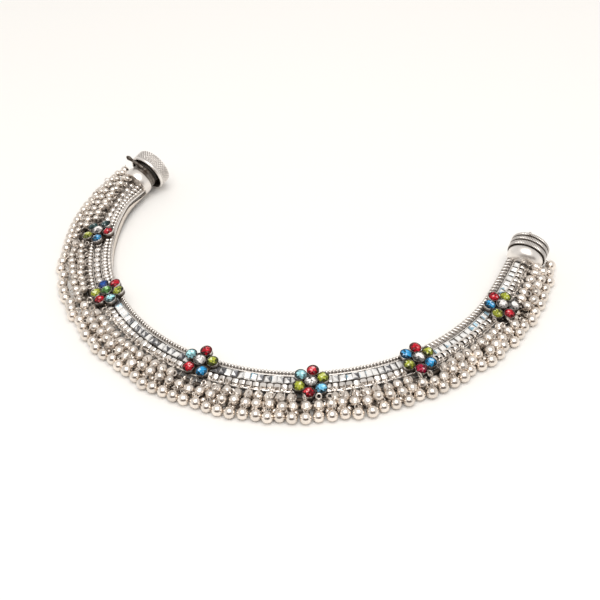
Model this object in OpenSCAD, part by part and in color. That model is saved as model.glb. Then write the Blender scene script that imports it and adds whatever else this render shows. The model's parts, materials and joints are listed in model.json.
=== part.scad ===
// Bridal anklet lying open on a table: a sloping band of chain rows with six flower
// heads, a fringe of bells and balls along its outer edge, and a screw clasp at its ends.
// The origin is the centre of the ankle space on the table. The front is towards -Y,
// the band opens towards +Y, and angles are counted in degrees from the front.

/* [Band] */
// Radius of the band's inner edge
band_r = 70; // [64:0.5:78]
// Height of the band's inner crest above the table
crest_z = 5.2; // [4.6:0.1:6]
// Fall of the band towards its outer edge, in degrees
slope = 13; // [8:1:18]
// Thickness of the chain rows
row_h = 1.9; // [1.5:0.1:2.1]
// Width of the milled rail
rail_w = 1.75; // [1.6:0.05:1.8]
// Width of the row of flat-cut links
facet_w = 2.4; // [2.2:0.05:2.5]
// Width of the row of cut beads, with its outer rail
bead_w = 4.05; // [3.8:0.05:4.1]
// Thickness of the upright inner wall
wall_t = 0.6; // [0.4:0.1:0.8]
// Gap between neighbouring pieces
gap = 0.15; // [0.1:0.05:0.25]

/* [Flowers] */
// Radius of the ring that the petal stones stand on
petal_ring_r = 4.2; // [4:0.1:4.4]
// Outer radius of a stone's cup
cup_r = 2; // [1.6:0.05:2.05]
// Height of a petal's cup
cup_h = 1.9; // [1.6:0.1:2.4]
// Wall of a stone's cup
cup_wall = 0.16; // [0.12:0.02:0.3]
// Extra height of the centre cup
centre_rise = 0.6; // [0.2:0.1:1]

/* [Fringe] */
// Diameter of the outermost balls
ball_d = 3.8; // [3:0.1:3.8]
// Radius of the outermost ring of balls
ball_ring_r = 87.2; // [87:0.1:89]
// Angle between neighbouring balls
ball_step = 2.56; // [2.5:0.02:2.8]
// Angle between neighbouring bells
bell_step = 1.92; // [1.86:0.02:2.2]
// Thickness of the wire that carries the balls and bells
wire_d = 0.6; // [0.4:0.1:0.6]

/* [Clasp] */
// Radius of the knurled cap
cap_r = 7.5; // [7:0.1:8]
// Thickness of the knurled cap
cap_h = 5.6; // [5:0.1:8]
// Radius of the left collar
left_collar_r = 5.6; // [5.2:0.1:6]
// Radius of the neck behind the cap
neck_r = 5; // [4.6:0.1:5.1]
// Radius of the post that the cap turns on
post_r = 2.6; // [2:0.1:3]
// Radius of the ridged drum
drum_r = 6.9; // [6.4:0.1:7.2]
// Length of the ridged drum
drum_h = 5.4; // [5:0.1:6.5]
// Radius of the plug on the cap that enters the drum's socket
plug_r = 2.4; // [2:0.1:2.8]

/* [Hidden] */
$fn = 40;

silver = [0.83, 0.81, 0.77];
bright_silver = [0.93, 0.92, 0.9];
dull_silver = [0.6, 0.57, 0.53];
ruby = [0.75, 0.03, 0.1];
glass = [0.55, 0.8, 0.85];

// The end stretches of the band rise from the table to reach the clasp's axis.
left_bend = -73.4;
right_bend = 78.3;
left_tilt = 4;
right_tilt = 7;
// The rows run past their collars by this angle, and are cut off at them.
overrun = 5;
left_end = -94.9;
right_end = 96.1;
// The right end stretch runs straighter than the rest: its radius is larger by this.
straighten = 122;
straight_share = band_r / (band_r + straighten);
// Angles that the raised stretches stay clear of the flat part
left_bend_gap = 0.45;
right_bend_gap = 0.65;

// One row for each flower head.
// Columns: angle, radius of its centre, petals, turn of its first petal, rise, lean.
FLOWER_ANGLE = 0;
FLOWER_R = 1;
FLOWER_PETALS = 2;
FLOWER_TURN = 3;
FLOWER_RISE = 4;
FLOWER_LEAN = 5;
FLOWERS = [
    [-73.4, 75.5, 5, 4, 0.45, -2],
    [-46.2, 74.0, 6, 0, 0.2, 0],
    [-7.1, 73.2, 5, 18, 0.2, 0],
    [21.4, 74.9, 6, 20, 0.2, 0],
    [48.7, 74.4, 6, 13, 0.2, 0],
    [78.3, 76.2, 6, 7, 0.6, 3.5]
];

// One row for each ring of bells, from the band outwards.
// Columns: radius, height, diameter, share of the end stretches' rise and outward shift,
// offset in steps.
BELL_R = 0;
BELL_Z = 1;
BELL_D = 2;
BELL_SHARE = 3;
BELL_OFFSET = 4;
BELL_RINGS = [
    [80.6, 3.1, 2.4, 0.8, 0],
    [82.15, 1.25, 2.4, 0.1, 0.5],
    [83.9, 3.1, 2.45, 0.4, 0.25]
];
// Depth at which wire ends inside a bead, as a share of the bead's radius
wire_inset = 0.62;
// Half the angle that a flower head keeps free of the innermost bells
flower_clear = 4.6;
// First and last places along the fringe
bell_from = -94.2;
bell_to = 93.2;
ball_from = -100.12;
ball_to = 100;
// From this angle on the balls at the left end gather inwards and upwards, past the collar.
gather_from = -93.5;
gather_in = 5.2;
gather_up = 5;
// Edges of the seven stretches that the fringe is joined in
STRETCHES = [-110, -73.4, -46.2, -7.1, 21.4, 48.7, 78.3, 110];

// Where the clasp halves lie: angle, radius and direction of their axes.
left_clasp_angle = -102.3;
left_clasp_r = 73.1;
left_pitch = 14;
left_yaw = -6;
right_clasp_angle = 98.6;
right_clasp_r = 78;
right_pitch = 17;
right_yaw = -14.5;
left_clasp_z = cap_r * cos(left_pitch);
right_clasp_z = drum_r * cos(right_pitch);

// Lengths along the clasp's axis. The left ones count from the cap's near face,
// the right ones from the drum's near face.
left_collar_from = -6.7;
left_collar_to = -3.3;
neck_to = -0.3;
post_len = 3.4;
plug_len = 1.4;
collar_len = 4.4;
right_collar_face_r = 3.3;
right_collar_r = 6.3;
spigot_r = 3.4;
spigot_len = 1.4;
socket_r = 2.5;
socket_len = 3.4;
groove_d = 0.35;
groove_w = 0.3;
running_fit = 0.05;

function at(angle, r, z) = [r * sin(angle), -r * cos(angle), z];

// Rise of the end stretches above the flat part of the band
function rise(angle, r) =
    angle > right_bend ? r * sin(angle - right_bend) * sin(right_tilt)
    : angle < left_bend ? r * sin(left_bend - angle) * sin(left_tilt)
    : 0;

// Outward shift of the right end stretch, because it runs straighter than a ring
function shift(angle) =
    angle > right_bend
        ? sqrt(pow(band_r + straighten, 2) - pow(straighten * sin(angle - right_bend), 2))
            - straighten * cos(angle - right_bend) - band_r
        : 0;

// Radius and height of a point on the band, from its place across and above the slope
function band_point(across, above) = [
    band_r + across * cos(slope) + above * sin(slope),
    crest_z - across * sin(slope) + above * cos(slope)
];

module rod(from, to, r) {
    v = to - from;
    len = norm(v);
    translate(from)
        rotate([0, acos(v[2] / len), atan2(v[1], v[0])])
            cylinder(h = len, r = r);
}

// Sweeps a section, drawn in radius and height, between two angles
module arc(from, to) {
    rotate([0, 0, from - 90])
        rotate_extrude(angle = to - from)
            children();
}

// Sweeps a section along the flat part of the band or along a raised end stretch.
// The end stretches start just past the flower heads that hide their bends.
module along_band(part) {
    if (part == "middle")
        arc(left_bend, right_bend) children();
    if (part == "left")
        difference() {
            rotate(a = -left_tilt, v = at(left_bend, 1, 0))
                arc(left_end - overrun, left_bend - left_bend_gap) children();
            left_clasp() end_block(left_collar_from - gap);
        }
    if (part == "right")
        difference() {
            rotate(a = right_tilt, v = at(right_bend, 1, 0))
                translate(at(right_bend, -straighten, 0))
                    arc(right_bend + right_bend_gap * straight_share,
                        right_bend + (right_end + overrun - right_bend) * straight_share)
                        translate([straighten, 0])
                            children();
            right_clasp() end_block(-collar_len - gap);
        }
}

// Everything beyond a collar's face
module end_block(from) {
    block = 40;
    translate([-block / 2, -block / 2, from])
        cube(block);
}

// Turns a section that is drawn across and above the band's slope into place
module on_slope() {
    translate(band_point(0, 0))
        rotate(-slope)
            children();
}

// The upright wall on the ankle side, which stops just under the rail's sloping underside
module inner_wall(part) {
    lip = 0.1;
    foot = band_r - lip;
    underside = crest_z - (wall_t - lip) * tan(slope) - row_h / cos(slope);
    head = underside - gap;
    color(silver)
        along_band(part)
            translate([foot, 0])
                square([wall_t, head]);
}

module milled_rail(part) {
    start = 0.1;
    round_r = rail_w / 2;
    color(bright_silver)
        along_band(part)
            on_slope()
                translate([start, 0])
                    intersection() {
                        union() {
                            translate([round_r, -round_r])
                                circle(r = round_r);
                            translate([0, -row_h])
                                square([rail_w, row_h - round_r]);
                        }
                        translate([0, -row_h])
                            square([rail_w, row_h]);
                    }
}

// A flat row with a thin round rail along each of its edges
module railed_row(part, start, width, rail_r, crown) {
    along_band(part)
        on_slope()
            translate([start, 0])
                union() {
                    translate([rail_r / 2, -row_h])
                        square([width - rail_r, row_h - rail_r]);
                    translate([rail_r, -rail_r])
                        circle(r = rail_r);
                    translate([width - rail_r, -rail_r])
                        circle(r = rail_r);
                    translate([width / 2, -width / 2 + crown])
                        intersection() {
                            circle(r = width / 2 - rail_r);
                            translate([-width / 2, 0])
                                square([width, width]);
                        }
                }
}

facet_start = 0.1 + rail_w + gap;
bead_start = facet_start + facet_w + gap;
band_w = bead_start + bead_w;

module flat_link_row(part) {
    color(bright_silver)
        railed_row(part, facet_start, facet_w, 0.25, -0.1);
}

module cut_bead_row(part) {
    color(silver)
        railed_row(part, bead_start, bead_w, 0.35, 0.2);
}

// Puts a flower's pieces in place, with +Z square to the band and +Y towards the ankle
module on_flower(f) {
    middle = (f[FLOWER_R] - band_r) / cos(slope);
    point = band_point(middle, f[FLOWER_RISE]);
    translate(at(f[FLOWER_ANGLE], point[0], point[1]))
        rotate([0, 0, f[FLOWER_ANGLE]])
            rotate([0, -f[FLOWER_LEAN], 0])
                rotate([slope, 0, 0])
                    children();
}

// Repeats a piece at each petal
module at_petals(f) {
    for (i = [0 : f[FLOWER_PETALS] - 1])
        rotate([0, 0, f[FLOWER_TURN] + i * 360 / f[FLOWER_PETALS]])
            translate([petal_ring_r, 0, 0])
                children();
}

plate_h = 0.5;
// Depth of a stone's seat below its cup's rim, and the play around the stone
seat_depth = 1.1;
stone_play = 0.04;
stone_r = cup_r - cup_wall - stone_play;

module cup(height) {
    seat = height - seat_depth;
    difference() {
        cylinder(h = height, r = cup_r);
        translate([0, 0, seat])
            cylinder(h = height, r = cup_r - cup_wall);
    }
}

module flower_setting(f) {
    color(dull_silver)
        on_flower(f)
            union() {
                cylinder(h = plate_h, r = petal_ring_r);
                cup(cup_h + centre_rise);
                at_petals(f) cup(cup_h);
            }
}

// A round stone with a bevelled crown, standing on its seat
module stone(height) {
    girdle = 0.75;
    crown = 0.6;
    table_share = 0.55;
    translate([0, 0, height - seat_depth + stone_play]) {
        cylinder(h = girdle, r = stone_r);
        translate([0, 0, girdle])
            cylinder(h = crown, r1 = stone_r, r2 = stone_r * table_share);
    }
}

module flower_stones(f) {
    on_flower(f) {
        color(glass) stone(cup_h + centre_rise);
        color(ruby) at_petals(f) stone(cup_h);
    }
}

// Angle of a bell, from its place along its ring
function bell_angle(ring, i) = bell_from + (i + ring[BELL_OFFSET]) * bell_step;

function bell_at(ring, i) =
    let (a = bell_angle(ring, i), share = ring[BELL_SHARE])
    at(a, ring[BELL_R] + share * shift(a), ring[BELL_Z] + share * rise(a, ring[BELL_R]));

function near_flower(angle) =
    len([for (f = FLOWERS) if (abs(angle - f[FLOWER_ANGLE]) < flower_clear) 1]) > 0;

// Wire between two beads, from inside the one to inside the other
module loop_between(from, to, inset) {
    along = (to - from) / norm(to - from);
    rod(from + along * inset, to - along * inset, wire_d / 2);
}

// One bead. Its seam is turned from the outward direction to a side that has no wire.
module bead(p, bead_r, seam) {
    translate(p)
        rotate([0, 0, atan2(p[1], p[0]) + seam])
            sphere(r = bead_r);
}

// Beads on a wire
module bead_string(points, bead_r, seam) {
    for (p = points)
        bead(p, bead_r, seam);
    for (i = [1 : len(points) - 1])
        loop_between(points[i - 1], points[i], bead_r * wire_inset);
}

// Three staggered rings of bells: the inner and outer ones are strung along the band,
// and the low one hangs between them
module bell_fringe(k) {
    inner = BELL_RINGS[0];
    low = BELL_RINGS[1];
    outer = BELL_RINGS[2];
    stem_end_r = band_point(band_w, 0)[0] + gap;
    last = floor((bell_to - bell_from) / bell_step);
    places = [
        for (i = [0 : last])
            let (a = bell_angle(inner, i))
            if (a > STRETCHES[k - 1] && a <= STRETCHES[k]) i
    ];
    inner_places = [for (i = places) if (!near_flower(bell_angle(inner, i))) i];
    inset = inner[BELL_D] / 2 * wire_inset;
    color(silver)
        union() {
            bead_string([for (i = inner_places) bell_at(inner, i)], inner[BELL_D] / 2, -45);
            bead_string([for (i = places) bell_at(outer, i)], outer[BELL_D] / 2, 0);
            for (i = places) {
                bead(bell_at(low, i), low[BELL_D] / 2, 90);
                loop_between(bell_at(low, i), bell_at(outer, i), inset);
            }
            for (i = inner_places) {
                p = bell_at(inner, i);
                a = bell_angle(inner, i);
                bell_r = inner[BELL_R] + inner[BELL_SHARE] * shift(a);
                loop_between(p, bell_at(low, i), inset);
                rod(at(a, bell_r - inset, p[2]), at(a, stem_end_r + shift(a), p[2]), wire_d / 2);
            }
        }
}

function ball_at(angle) =
    let (gathered = pow(max(0, gather_from - angle) / (gather_from - ball_from), 1.5))
    at(angle, ball_ring_r - gathered * gather_in, ball_d / 2 + gathered * gather_up);

module ball_fringe(k) {
    angles = [
        for (a = [ball_from : ball_step : ball_to])
            if (a > STRETCHES[k - 1] && a <= STRETCHES[k]) a
    ];
    color(bright_silver)
        bead_string([for (a = angles) ball_at(a)], ball_d / 2, 0);
}

// Puts clasp pieces in place, with +Z along the clasp's axis away from the band
module clasp_half(angle, r, z, heading, pitch) {
    translate(at(angle, r, z))
        rotate([0, 0, heading])
            rotate([0, 90 - pitch, 0])
                children();
}

module left_clasp() {
    clasp_half(left_clasp_angle, left_clasp_r, left_clasp_z,
        left_clasp_angle + 180 + left_yaw, left_pitch)
        children();
}

module right_clasp() {
    clasp_half(right_clasp_angle, right_clasp_r, right_clasp_z,
        right_clasp_angle + right_yaw, right_pitch)
        children();
}

// A turned ring with softly rounded edges and a closed middle
module turned_ring(from, to, r, edge) {
    translate([0, 0, from])
        rotate_extrude()
            union() {
                square([r - edge, to - from]);
                translate([0, edge])
                    square([r, to - from - 2 * edge]);
                translate([r - edge, edge])
                    circle(r = edge);
                translate([r - edge, to - from - edge])
                    circle(r = edge);
            }
}

module left_collar() {
    color(bright_silver)
        left_clasp()
            turned_ring(left_collar_from, left_collar_to, left_collar_r, 0.5);
}

// The neck, the post that the cap turns on and a catch pin across the neck's top
module clasp_neck() {
    pin_r = 0.7;
    pin_place = -1.4;
    pin_near = [-5.1, -1.6, pin_place];
    pin_tip = [-7.6, 6.3, pin_place];
    color(dull_silver)
        left_clasp()
            union() {
                translate([0, 0, left_collar_to + gap])
                    cylinder(h = neck_to - left_collar_to - gap, r = neck_r);
                translate([0, 0, neck_to - 0.1])
                    cylinder(h = post_len, r = post_r);
                rod(pin_near, pin_tip, pin_r);
                translate(pin_tip)
                    sphere(r = pin_r * 1.2);
            }
}

module knurled_cap() {
    edge = 1.2;
    recess_in = 4.4;
    recess_out = cap_r - 1.3;
    recess_h = 2.4;
    bore_h = post_len;
    color(silver)
        left_clasp()
            difference() {
                union() {
                    rotate_extrude()
                        union() {
                            square([cap_r - edge, cap_h]);
                            square([cap_r, cap_h - edge]);
                            translate([cap_r - edge, cap_h - edge])
                                circle(r = edge);
                        }
                    translate([0, 0, cap_h - 0.1])
                        cylinder(h = plug_len + 0.1, r = plug_r);
                }
                translate([0, 0, -1])
                    cylinder(h = bore_h + 1, r = post_r + running_fit);
                translate([0, 0, -1])
                    difference() {
                        cylinder(h = recess_h + 1, r = recess_out);
                        translate([0, 0, -1])
                            cylinder(h = recess_h + 3, r = recess_in);
                    }
            }
}

// A shoulder that swells from the band to the drum, with a spigot for the drum
module right_collar() {
    swell = right_collar_r - right_collar_face_r;
    color(bright_silver)
        right_clasp()
            union() {
                translate([0, 0, -collar_len])
                    rotate_extrude()
                        union() {
                            square([right_collar_face_r, collar_len]);
                            intersection() {
                                translate([right_collar_face_r, swell])
                                    circle(r = swell);
                                square([right_collar_r, swell]);
                            }
                            translate([0, swell])
                                square([right_collar_r, collar_len - swell]);
                        }
                translate([0, 0, -0.1])
                    cylinder(h = spigot_len + 0.1, r = spigot_r);
            }
}

module ridged_drum() {
    peg_r = 0.5;
    peg_foot = [-drum_r + 1, 0, drum_h - 0.9];
    peg_tip = [-drum_r - 0.9, 0, drum_h - 0.7];
    edge = 0.5;
    grooves = [2.1, 3.9];
    color(silver)
        right_clasp()
            difference() {
                union() {
                    turned_ring(gap, drum_h, drum_r, edge);
                    rod(peg_foot, peg_tip, peg_r);
                }
                for (t = grooves)
                    translate([0, 0, t])
                        difference() {
                            cylinder(h = groove_w, r = drum_r + 1);
                            translate([0, 0, -1])
                                cylinder(h = groove_w + 2, r = drum_r - groove_d);
                        }
                translate([0, 0, -1])
                    cylinder(h = spigot_len + gap + 1, r = spigot_r + gap);
                translate([0, 0, drum_h - socket_len])
                    cylinder(h = socket_len + 1, r = socket_r);
            }
}

for (part = ["middle", "left", "right"]) {
    end = part == "middle" ? "" : str("_", part);
    inner_wall(part);
    milled_rail(part);
    flat_link_row(part);
    cut_bead_row(part);
}
for (i = [1 : 6]) {
    flower_setting(FLOWERS[i - 1]);
    flower_stones(FLOWERS[i - 1]);
}
for (k = [1 : 7]) {
    bell_fringe(k);
    ball_fringe(k);
}
left_collar();
clasp_neck();
knurled_cap();
right_collar();
ridged_drum();
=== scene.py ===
import json
import math

import bpy
import numpy as np
from bpy.props import FloatProperty, FloatVectorProperty, PointerProperty
from mathutils import Matrix, Vector


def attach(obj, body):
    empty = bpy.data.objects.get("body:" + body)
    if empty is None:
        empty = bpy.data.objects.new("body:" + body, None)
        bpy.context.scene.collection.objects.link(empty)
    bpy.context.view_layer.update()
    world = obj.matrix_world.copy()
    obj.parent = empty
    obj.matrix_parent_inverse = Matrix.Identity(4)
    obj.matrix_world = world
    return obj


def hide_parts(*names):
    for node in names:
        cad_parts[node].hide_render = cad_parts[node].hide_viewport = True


bl_info = {
    "name": "Bridal anklet",
    "version": (1, 0, 0),
    "blender": (4, 5, 0),
    "location": "View3D > Sidebar > Anklet",
    "description": "Dresses the anklet's frame in silver chain work, bells, balls and stones",
    "category": "Object",
}

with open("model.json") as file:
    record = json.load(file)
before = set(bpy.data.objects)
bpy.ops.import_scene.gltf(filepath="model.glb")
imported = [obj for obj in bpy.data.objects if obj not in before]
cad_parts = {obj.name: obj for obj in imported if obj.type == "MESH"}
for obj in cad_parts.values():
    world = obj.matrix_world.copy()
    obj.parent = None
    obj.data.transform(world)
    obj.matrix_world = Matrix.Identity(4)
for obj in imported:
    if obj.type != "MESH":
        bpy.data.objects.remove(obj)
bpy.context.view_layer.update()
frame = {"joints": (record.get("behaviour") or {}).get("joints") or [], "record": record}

MM = 0.001
UP = np.array([0.0, 0.0, 1.0])

# The band's slope, and the bends past which its ends rise to the clasp
SLOPE = math.radians(13)
BEND_SOFTNESS = 1.5 * MM
# Columns: angle of the bend, tilt in degrees, side that rises
BENDS = ((-73.4, 4, -1), (78.3, 7, 1))

# Past the right bend the band follows an arc whose radius is larger by this
RIGHT_BEND = math.radians(78.3)
STRAIGHTEN = 122 * MM

# Between these angles in degrees the left end curls up into its collar. Its inner edge turns
# by CURL_TURN, and the band bends back by CURL_BEND radians per metre over CURL_WIDTH.
CURL_FROM, CURL_TO = -86.0, -97.0
CURL_TURN = math.radians(30)
CURL_BEND = 70.0
CURL_WIDTH = 8.6 * MM
CURL_IN, CURL_DOWN = 0.7 * MM, 2.2 * MM
# The bend of the flat band, in radians per metre, which only has to differ from zero
FLAT_BEND = 0.001

# One row for each flower head, angles and tilts in degrees, lengths in millimetres.
# Columns: angle, radius of its centre, petals, turn of its first petal, rise, lean.
FLOWERS = (
    (-73.4, 75.5, 5, 4, 0.45, -2),
    (-46.2, 74.0, 6, 0, 0.2, 0),
    (-7.1, 73.2, 5, 18, 0.2, 0),
    (21.4, 74.9, 6, 20, 0.2, 0),
    (48.7, 74.4, 6, 13, 0.2, 0),
    (78.3, 76.2, 6, 7, 0.6, 3.5),
)
# The glass of each flower head, petal by petal from its first, and of its centre
STONES = (
    (("blue", "red", "pine", "pine", "lime"), "clear"),
    (("aqua", "lime", "red", "navy", "lime", "red"), "leaf"),
    (("lime", "red", "aqua", "red", "blue"), "clear"),
    (("lime", "red", "aqua", "lime", "red", "sky"), "clear"),
    (("lime", "red", "blue", "lime", "crimson", "blue"), "clear"),
    (("lime", "red", "blue", "lime", "red", "clear"), "clear"),
)

# Edges of the seven stretches of the fringe, in degrees
STRETCHES = (-110, -73.4, -46.2, -7.1, 21.4, 48.7, 78.3, 110)

# The outer balls' diameter that the rows of BALL_ZONES are written for
BALL_DIAMETER = 3.8 * MM


class AnkletSizes(bpy.types.PropertyGroup):
    band_radius: FloatProperty(
        name="Band radius", description="Radius of the band's inner edge",
        default=70 * MM, unit="LENGTH")
    crest_height: FloatProperty(
        name="Crest height", description="Height of the band's inner crest above the table",
        default=5.2 * MM, unit="LENGTH")
    row_thickness: FloatProperty(
        name="Row thickness", description="Thickness of the chain rows",
        default=1.9 * MM, unit="LENGTH")
    wall_thickness: FloatProperty(
        name="Wall thickness", description="Thickness of the upright inner wall",
        default=0.6 * MM, unit="LENGTH")
    petal_ring: FloatProperty(
        name="Petal ring", description="Radius of the ring that the petal stones stand on",
        default=4.15 * MM, unit="LENGTH")
    cup_radius: FloatProperty(
        name="Cup radius", description="Outer radius of a stone's cup",
        default=2.0 * MM, unit="LENGTH")
    cup_height: FloatProperty(
        name="Cup height", description="Height of a petal's cup",
        default=1.9 * MM, unit="LENGTH")
    ball_diameter: FloatProperty(
        name="Ball diameter", description="Diameter of the outermost balls",
        default=BALL_DIAMETER, unit="LENGTH")


class AnkletColours(bpy.types.PropertyGroup):
    silver: FloatVectorProperty(
        name="Silver", description="Clean silver", subtype="COLOR", size=4,
        default=(0.85, 0.78, 0.71, 1))
    polish: FloatVectorProperty(
        name="Polish", description="Polished silver of the collars and links", subtype="COLOR",
        size=4, default=(0.88, 0.84, 0.8, 1))
    # Brown-grey colour that the dark attribute mixes in: real tarnish in soft patches, and painted shade in
    # the gaps, under the rows and inside the cups.
    tarnish_and_shade: FloatVectorProperty(
        name="Tarnish and shade", description="Brown-grey tarnish in the gaps", subtype="COLOR", size=4,
        default=(0.06, 0.042, 0.03, 1))
    table: FloatVectorProperty(
        name="Table", description="The pale table", subtype="COLOR", size=4,
        default=(0.94, 0.93, 0.91, 1))


GLASS = {
    "red": (0.5, 0.0, 0.014),
    "crimson": (0.34, 0.0, 0.035),
    "blue": (0.02, 0.28, 0.58),
    "sky": (0.16, 0.5, 0.74),
    "navy": (0.006, 0.06, 0.3),
    "aqua": (0.36, 0.72, 0.78),
    "lime": (0.36, 0.4, 0.035),
    "leaf": (0.12, 0.34, 0.07),
    "pine": (0.008, 0.05, 0.05),
    "clear": (0.84, 0.79, 0.77),
}


class Shape:
    """Points and faces of a piece, with the darkening and the tone at each point. The darkening is tarnish
    and painted shade; the tone is random, and on cut facets it is painted light.
    """

    def __init__(self, points, quads=(), tris=(), dark=0.0, tone=0.5):
        self.points = np.asarray(points, float).reshape(-1, 3)
        self.quads = np.asarray(quads, int).reshape(-1, 4)
        self.tris = np.asarray(tris, int).reshape(-1, 3)
        count = len(self.points)
        self.dark = np.broadcast_to(np.asarray(dark, float), (count,)).copy()
        self.tone = np.broadcast_to(np.asarray(tone, float), (count,)).copy()


def joined(shapes):
    """Several shapes as one."""
    shapes = [s for s in shapes if len(s.points)]
    starts = np.cumsum([0] + [len(s.points) for s in shapes[:-1]])
    return Shape(
        np.concatenate([s.points for s in shapes]),
        np.concatenate([s.quads + n for s, n in zip(shapes, starts)]),
        np.concatenate([s.tris + n for s, n in zip(shapes, starts)]),
        np.concatenate([s.dark for s in shapes]),
        np.concatenate([s.tone for s in shapes]))


def copies(shape, origins, axes, size=1.0, tones=None):
    """One copy of a shape at each origin, along its axes. size is one number, or three for each
    copy, and tones lighten or darken each copy as a whole, evenly about 0.5."""
    count = len(origins)
    size = np.broadcast_to(np.asarray(size, float), (count, 3))
    local = shape.points[None] * size[:, None, :]
    points = np.einsum("nij,npj->npi", axes, local) + np.asarray(origins)[:, None, :]
    starts = (np.arange(count) * len(shape.points))[:, None, None]
    tone = shape.tone[None].repeat(count, 0)
    if tones is not None:
        tone = tone + np.asarray(tones)[:, None] - 0.5
    return Shape(
        points.reshape(-1, 3),
        (shape.quads[None] + starts).reshape(-1, 4),
        (shape.tris[None] + starts).reshape(-1, 3),
        np.tile(shape.dark, count),
        tone.reshape(-1))


def moved(shape, matrix):
    """A shape taken through a matrix."""
    m = np.array(matrix)
    points = shape.points @ m[:3, :3].T + m[:3, 3]
    return Shape(points, shape.quads, shape.tris, shape.dark, shape.tone)


def turn_angles(count):
    """Evenly spaced angles round a full turn, in radians."""
    return np.linspace(0, 2 * math.pi, count, endpoint=False)


def grid_faces(rings, sides, closed=False):
    """Quads between rings of points that are stored one after another."""
    i, j = np.meshgrid(np.arange(rings if closed else rings - 1), np.arange(sides), indexing="ij")
    i, j = i.ravel(), j.ravel()
    next_i, next_j = (i + 1) % rings, (j + 1) % sides
    return np.stack([
        i * sides + j, i * sides + next_j, next_i * sides + next_j, next_i * sides + j], axis=1)


def end_fans(points, centres, sides, swapped=False):
    """Rings of points with a centre added for each end, and the triangles that close the two
    ends. swapped turns the triangles over."""
    j = np.arange(sides)
    count = len(points)
    tris = []
    for first, centre, faces_down in ((0, count, True), (count - sides, count + 1, False)):
        ring, after, middle = first + j, first + (j + 1) % sides, np.full(sides, centre)
        corners = [after, ring, middle] if faces_down != swapped else [ring, after, middle]
        tris.append(np.stack(corners, axis=1))
    return np.concatenate([points, centres]), np.concatenate(tris)


def lathe(profile, sides):
    """A turned shape about +Z, from rows of radius, height and darkening, which is tarnish and painted shade.
    Where the rows run upwards, its faces look outwards."""
    profile = np.asarray(profile, float)
    a = turn_angles(sides)
    ring = np.stack([np.cos(a), np.sin(a)], axis=1)
    height = np.broadcast_to(profile[:, None, 1:2], (len(profile), sides, 1))
    points = np.concatenate([profile[:, None, :1] * ring[None], height], axis=2).reshape(-1, 3)
    centres = [(0, 0, profile[0, 1]), (0, 0, profile[-1, 1])]
    points, tris = end_fans(points, centres, sides)
    dark = np.concatenate([profile[:, 2].repeat(sides), profile[[0, -1], 2]])
    return Shape(points, grid_faces(len(profile), sides), tris, dark)


def unit(vectors):
    """Vectors brought to a length of 1."""
    return vectors / np.linalg.norm(vectors, axis=-1, keepdims=True)


def wire(path, radius, sides, closed=False, dark=0.0):
    """A round wire along a path. radius is one number, or one for each point."""
    path = np.asarray(path, float)
    count = len(path)
    if closed:
        tangent = unit(np.roll(path, -1, 0) - np.roll(path, 1, 0))
    else:
        tangent = unit(np.gradient(path, axis=0))
    side = np.cross(tangent[0], UP if abs(tangent[0][2]) < 0.9 else [1, 0, 0])
    sideways = []
    for t in tangent:
        side = unit(side - t * (side @ t))
        sideways.append(side)
    sideways = np.array(sideways)
    upward = np.cross(tangent, sideways)
    a = turn_angles(sides)
    r = np.broadcast_to(np.asarray(radius, float), (count,))[:, None, None]
    c, s = np.cos(a)[None, :, None], np.sin(a)[None, :, None]
    points = (path[:, None] + r * (c * sideways[:, None] + s * upward[:, None])).reshape(-1, 3)
    quads = grid_faces(count, sides, closed)[:, ::-1]
    tris = np.zeros((0, 3), int)
    if not closed:
        points, tris = end_fans(points, path[[0, -1]], sides, swapped=True)
    return Shape(points, quads, tris, dark)


def ring_of_wire(radius, wire_radius, segments=14, sides=6):
    """A closed ring in the local X and Z plane, about the origin."""
    a = turn_angles(segments)
    path = np.stack([radius * np.cos(a), 0 * a, radius * np.sin(a)], axis=1)
    return wire(path, wire_radius, sides, closed=True, dark=0.15)


def facets(points, faces, tones=(0.5,)):
    """A cut shape whose flat faces share no points, each with its own tone."""
    points = np.asarray(points, float)
    corners, tris, tone = [], [], []
    for face, value in zip(faces, tones):
        start = len(corners)
        corners.extend(points[list(face)])
        tone.extend([value] * len(face))
        tris.extend([start, start + k, start + k + 1] for k in range(1, len(face) - 1))
    return Shape(corners, (), tris, 0.0, tone)


def tube(rings, dark, inward=False):
    """A tube through rings of points, with flat ends. inward turns all of its faces over."""
    count, sides = rings.shape[:2]
    order = -1 if inward else 1
    face = range(sides)[::order]
    dark = np.broadcast_to(np.asarray(dark, float), (sides,))
    side = Shape(rings.reshape(-1, 3), grid_faces(count, sides)[:, ::order], (), np.tile(dark, count))
    return joined([side, facets(rings[0], [face]), facets(rings[-1], [face[::-1]])])


def on_ring(angle, radius, height):
    """Points at angles in degrees from the front, on the flat part of the band."""
    angle, radius, height = np.broadcast_arrays(
        np.asarray(angle, float), np.asarray(radius, float), np.asarray(height, float))
    a = np.radians(angle)
    return np.stack([radius * np.sin(a), -radius * np.cos(a), height], axis=-1)


def turned(vectors, axis, turn):
    """Vectors turned about an axis by one angle each, in radians."""
    c, s = np.cos(turn)[:, None], np.sin(turn)[:, None]
    return vectors * c + np.cross(axis, vectors) * s + axis * (vectors @ axis)[:, None] * (1 - c)


def past_bend(points, bend, side):
    """The way out past a bend, how far points lie past it, softened, and the share of its
    tilt that they have."""
    b = math.radians(bend)
    along = side * np.array([math.cos(b), math.sin(b), 0])
    s = points @ along
    soft = np.sqrt(s * s + BEND_SOFTNESS ** 2)
    return along, (s + soft) / 2, (1 + s / soft) / 2


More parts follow.
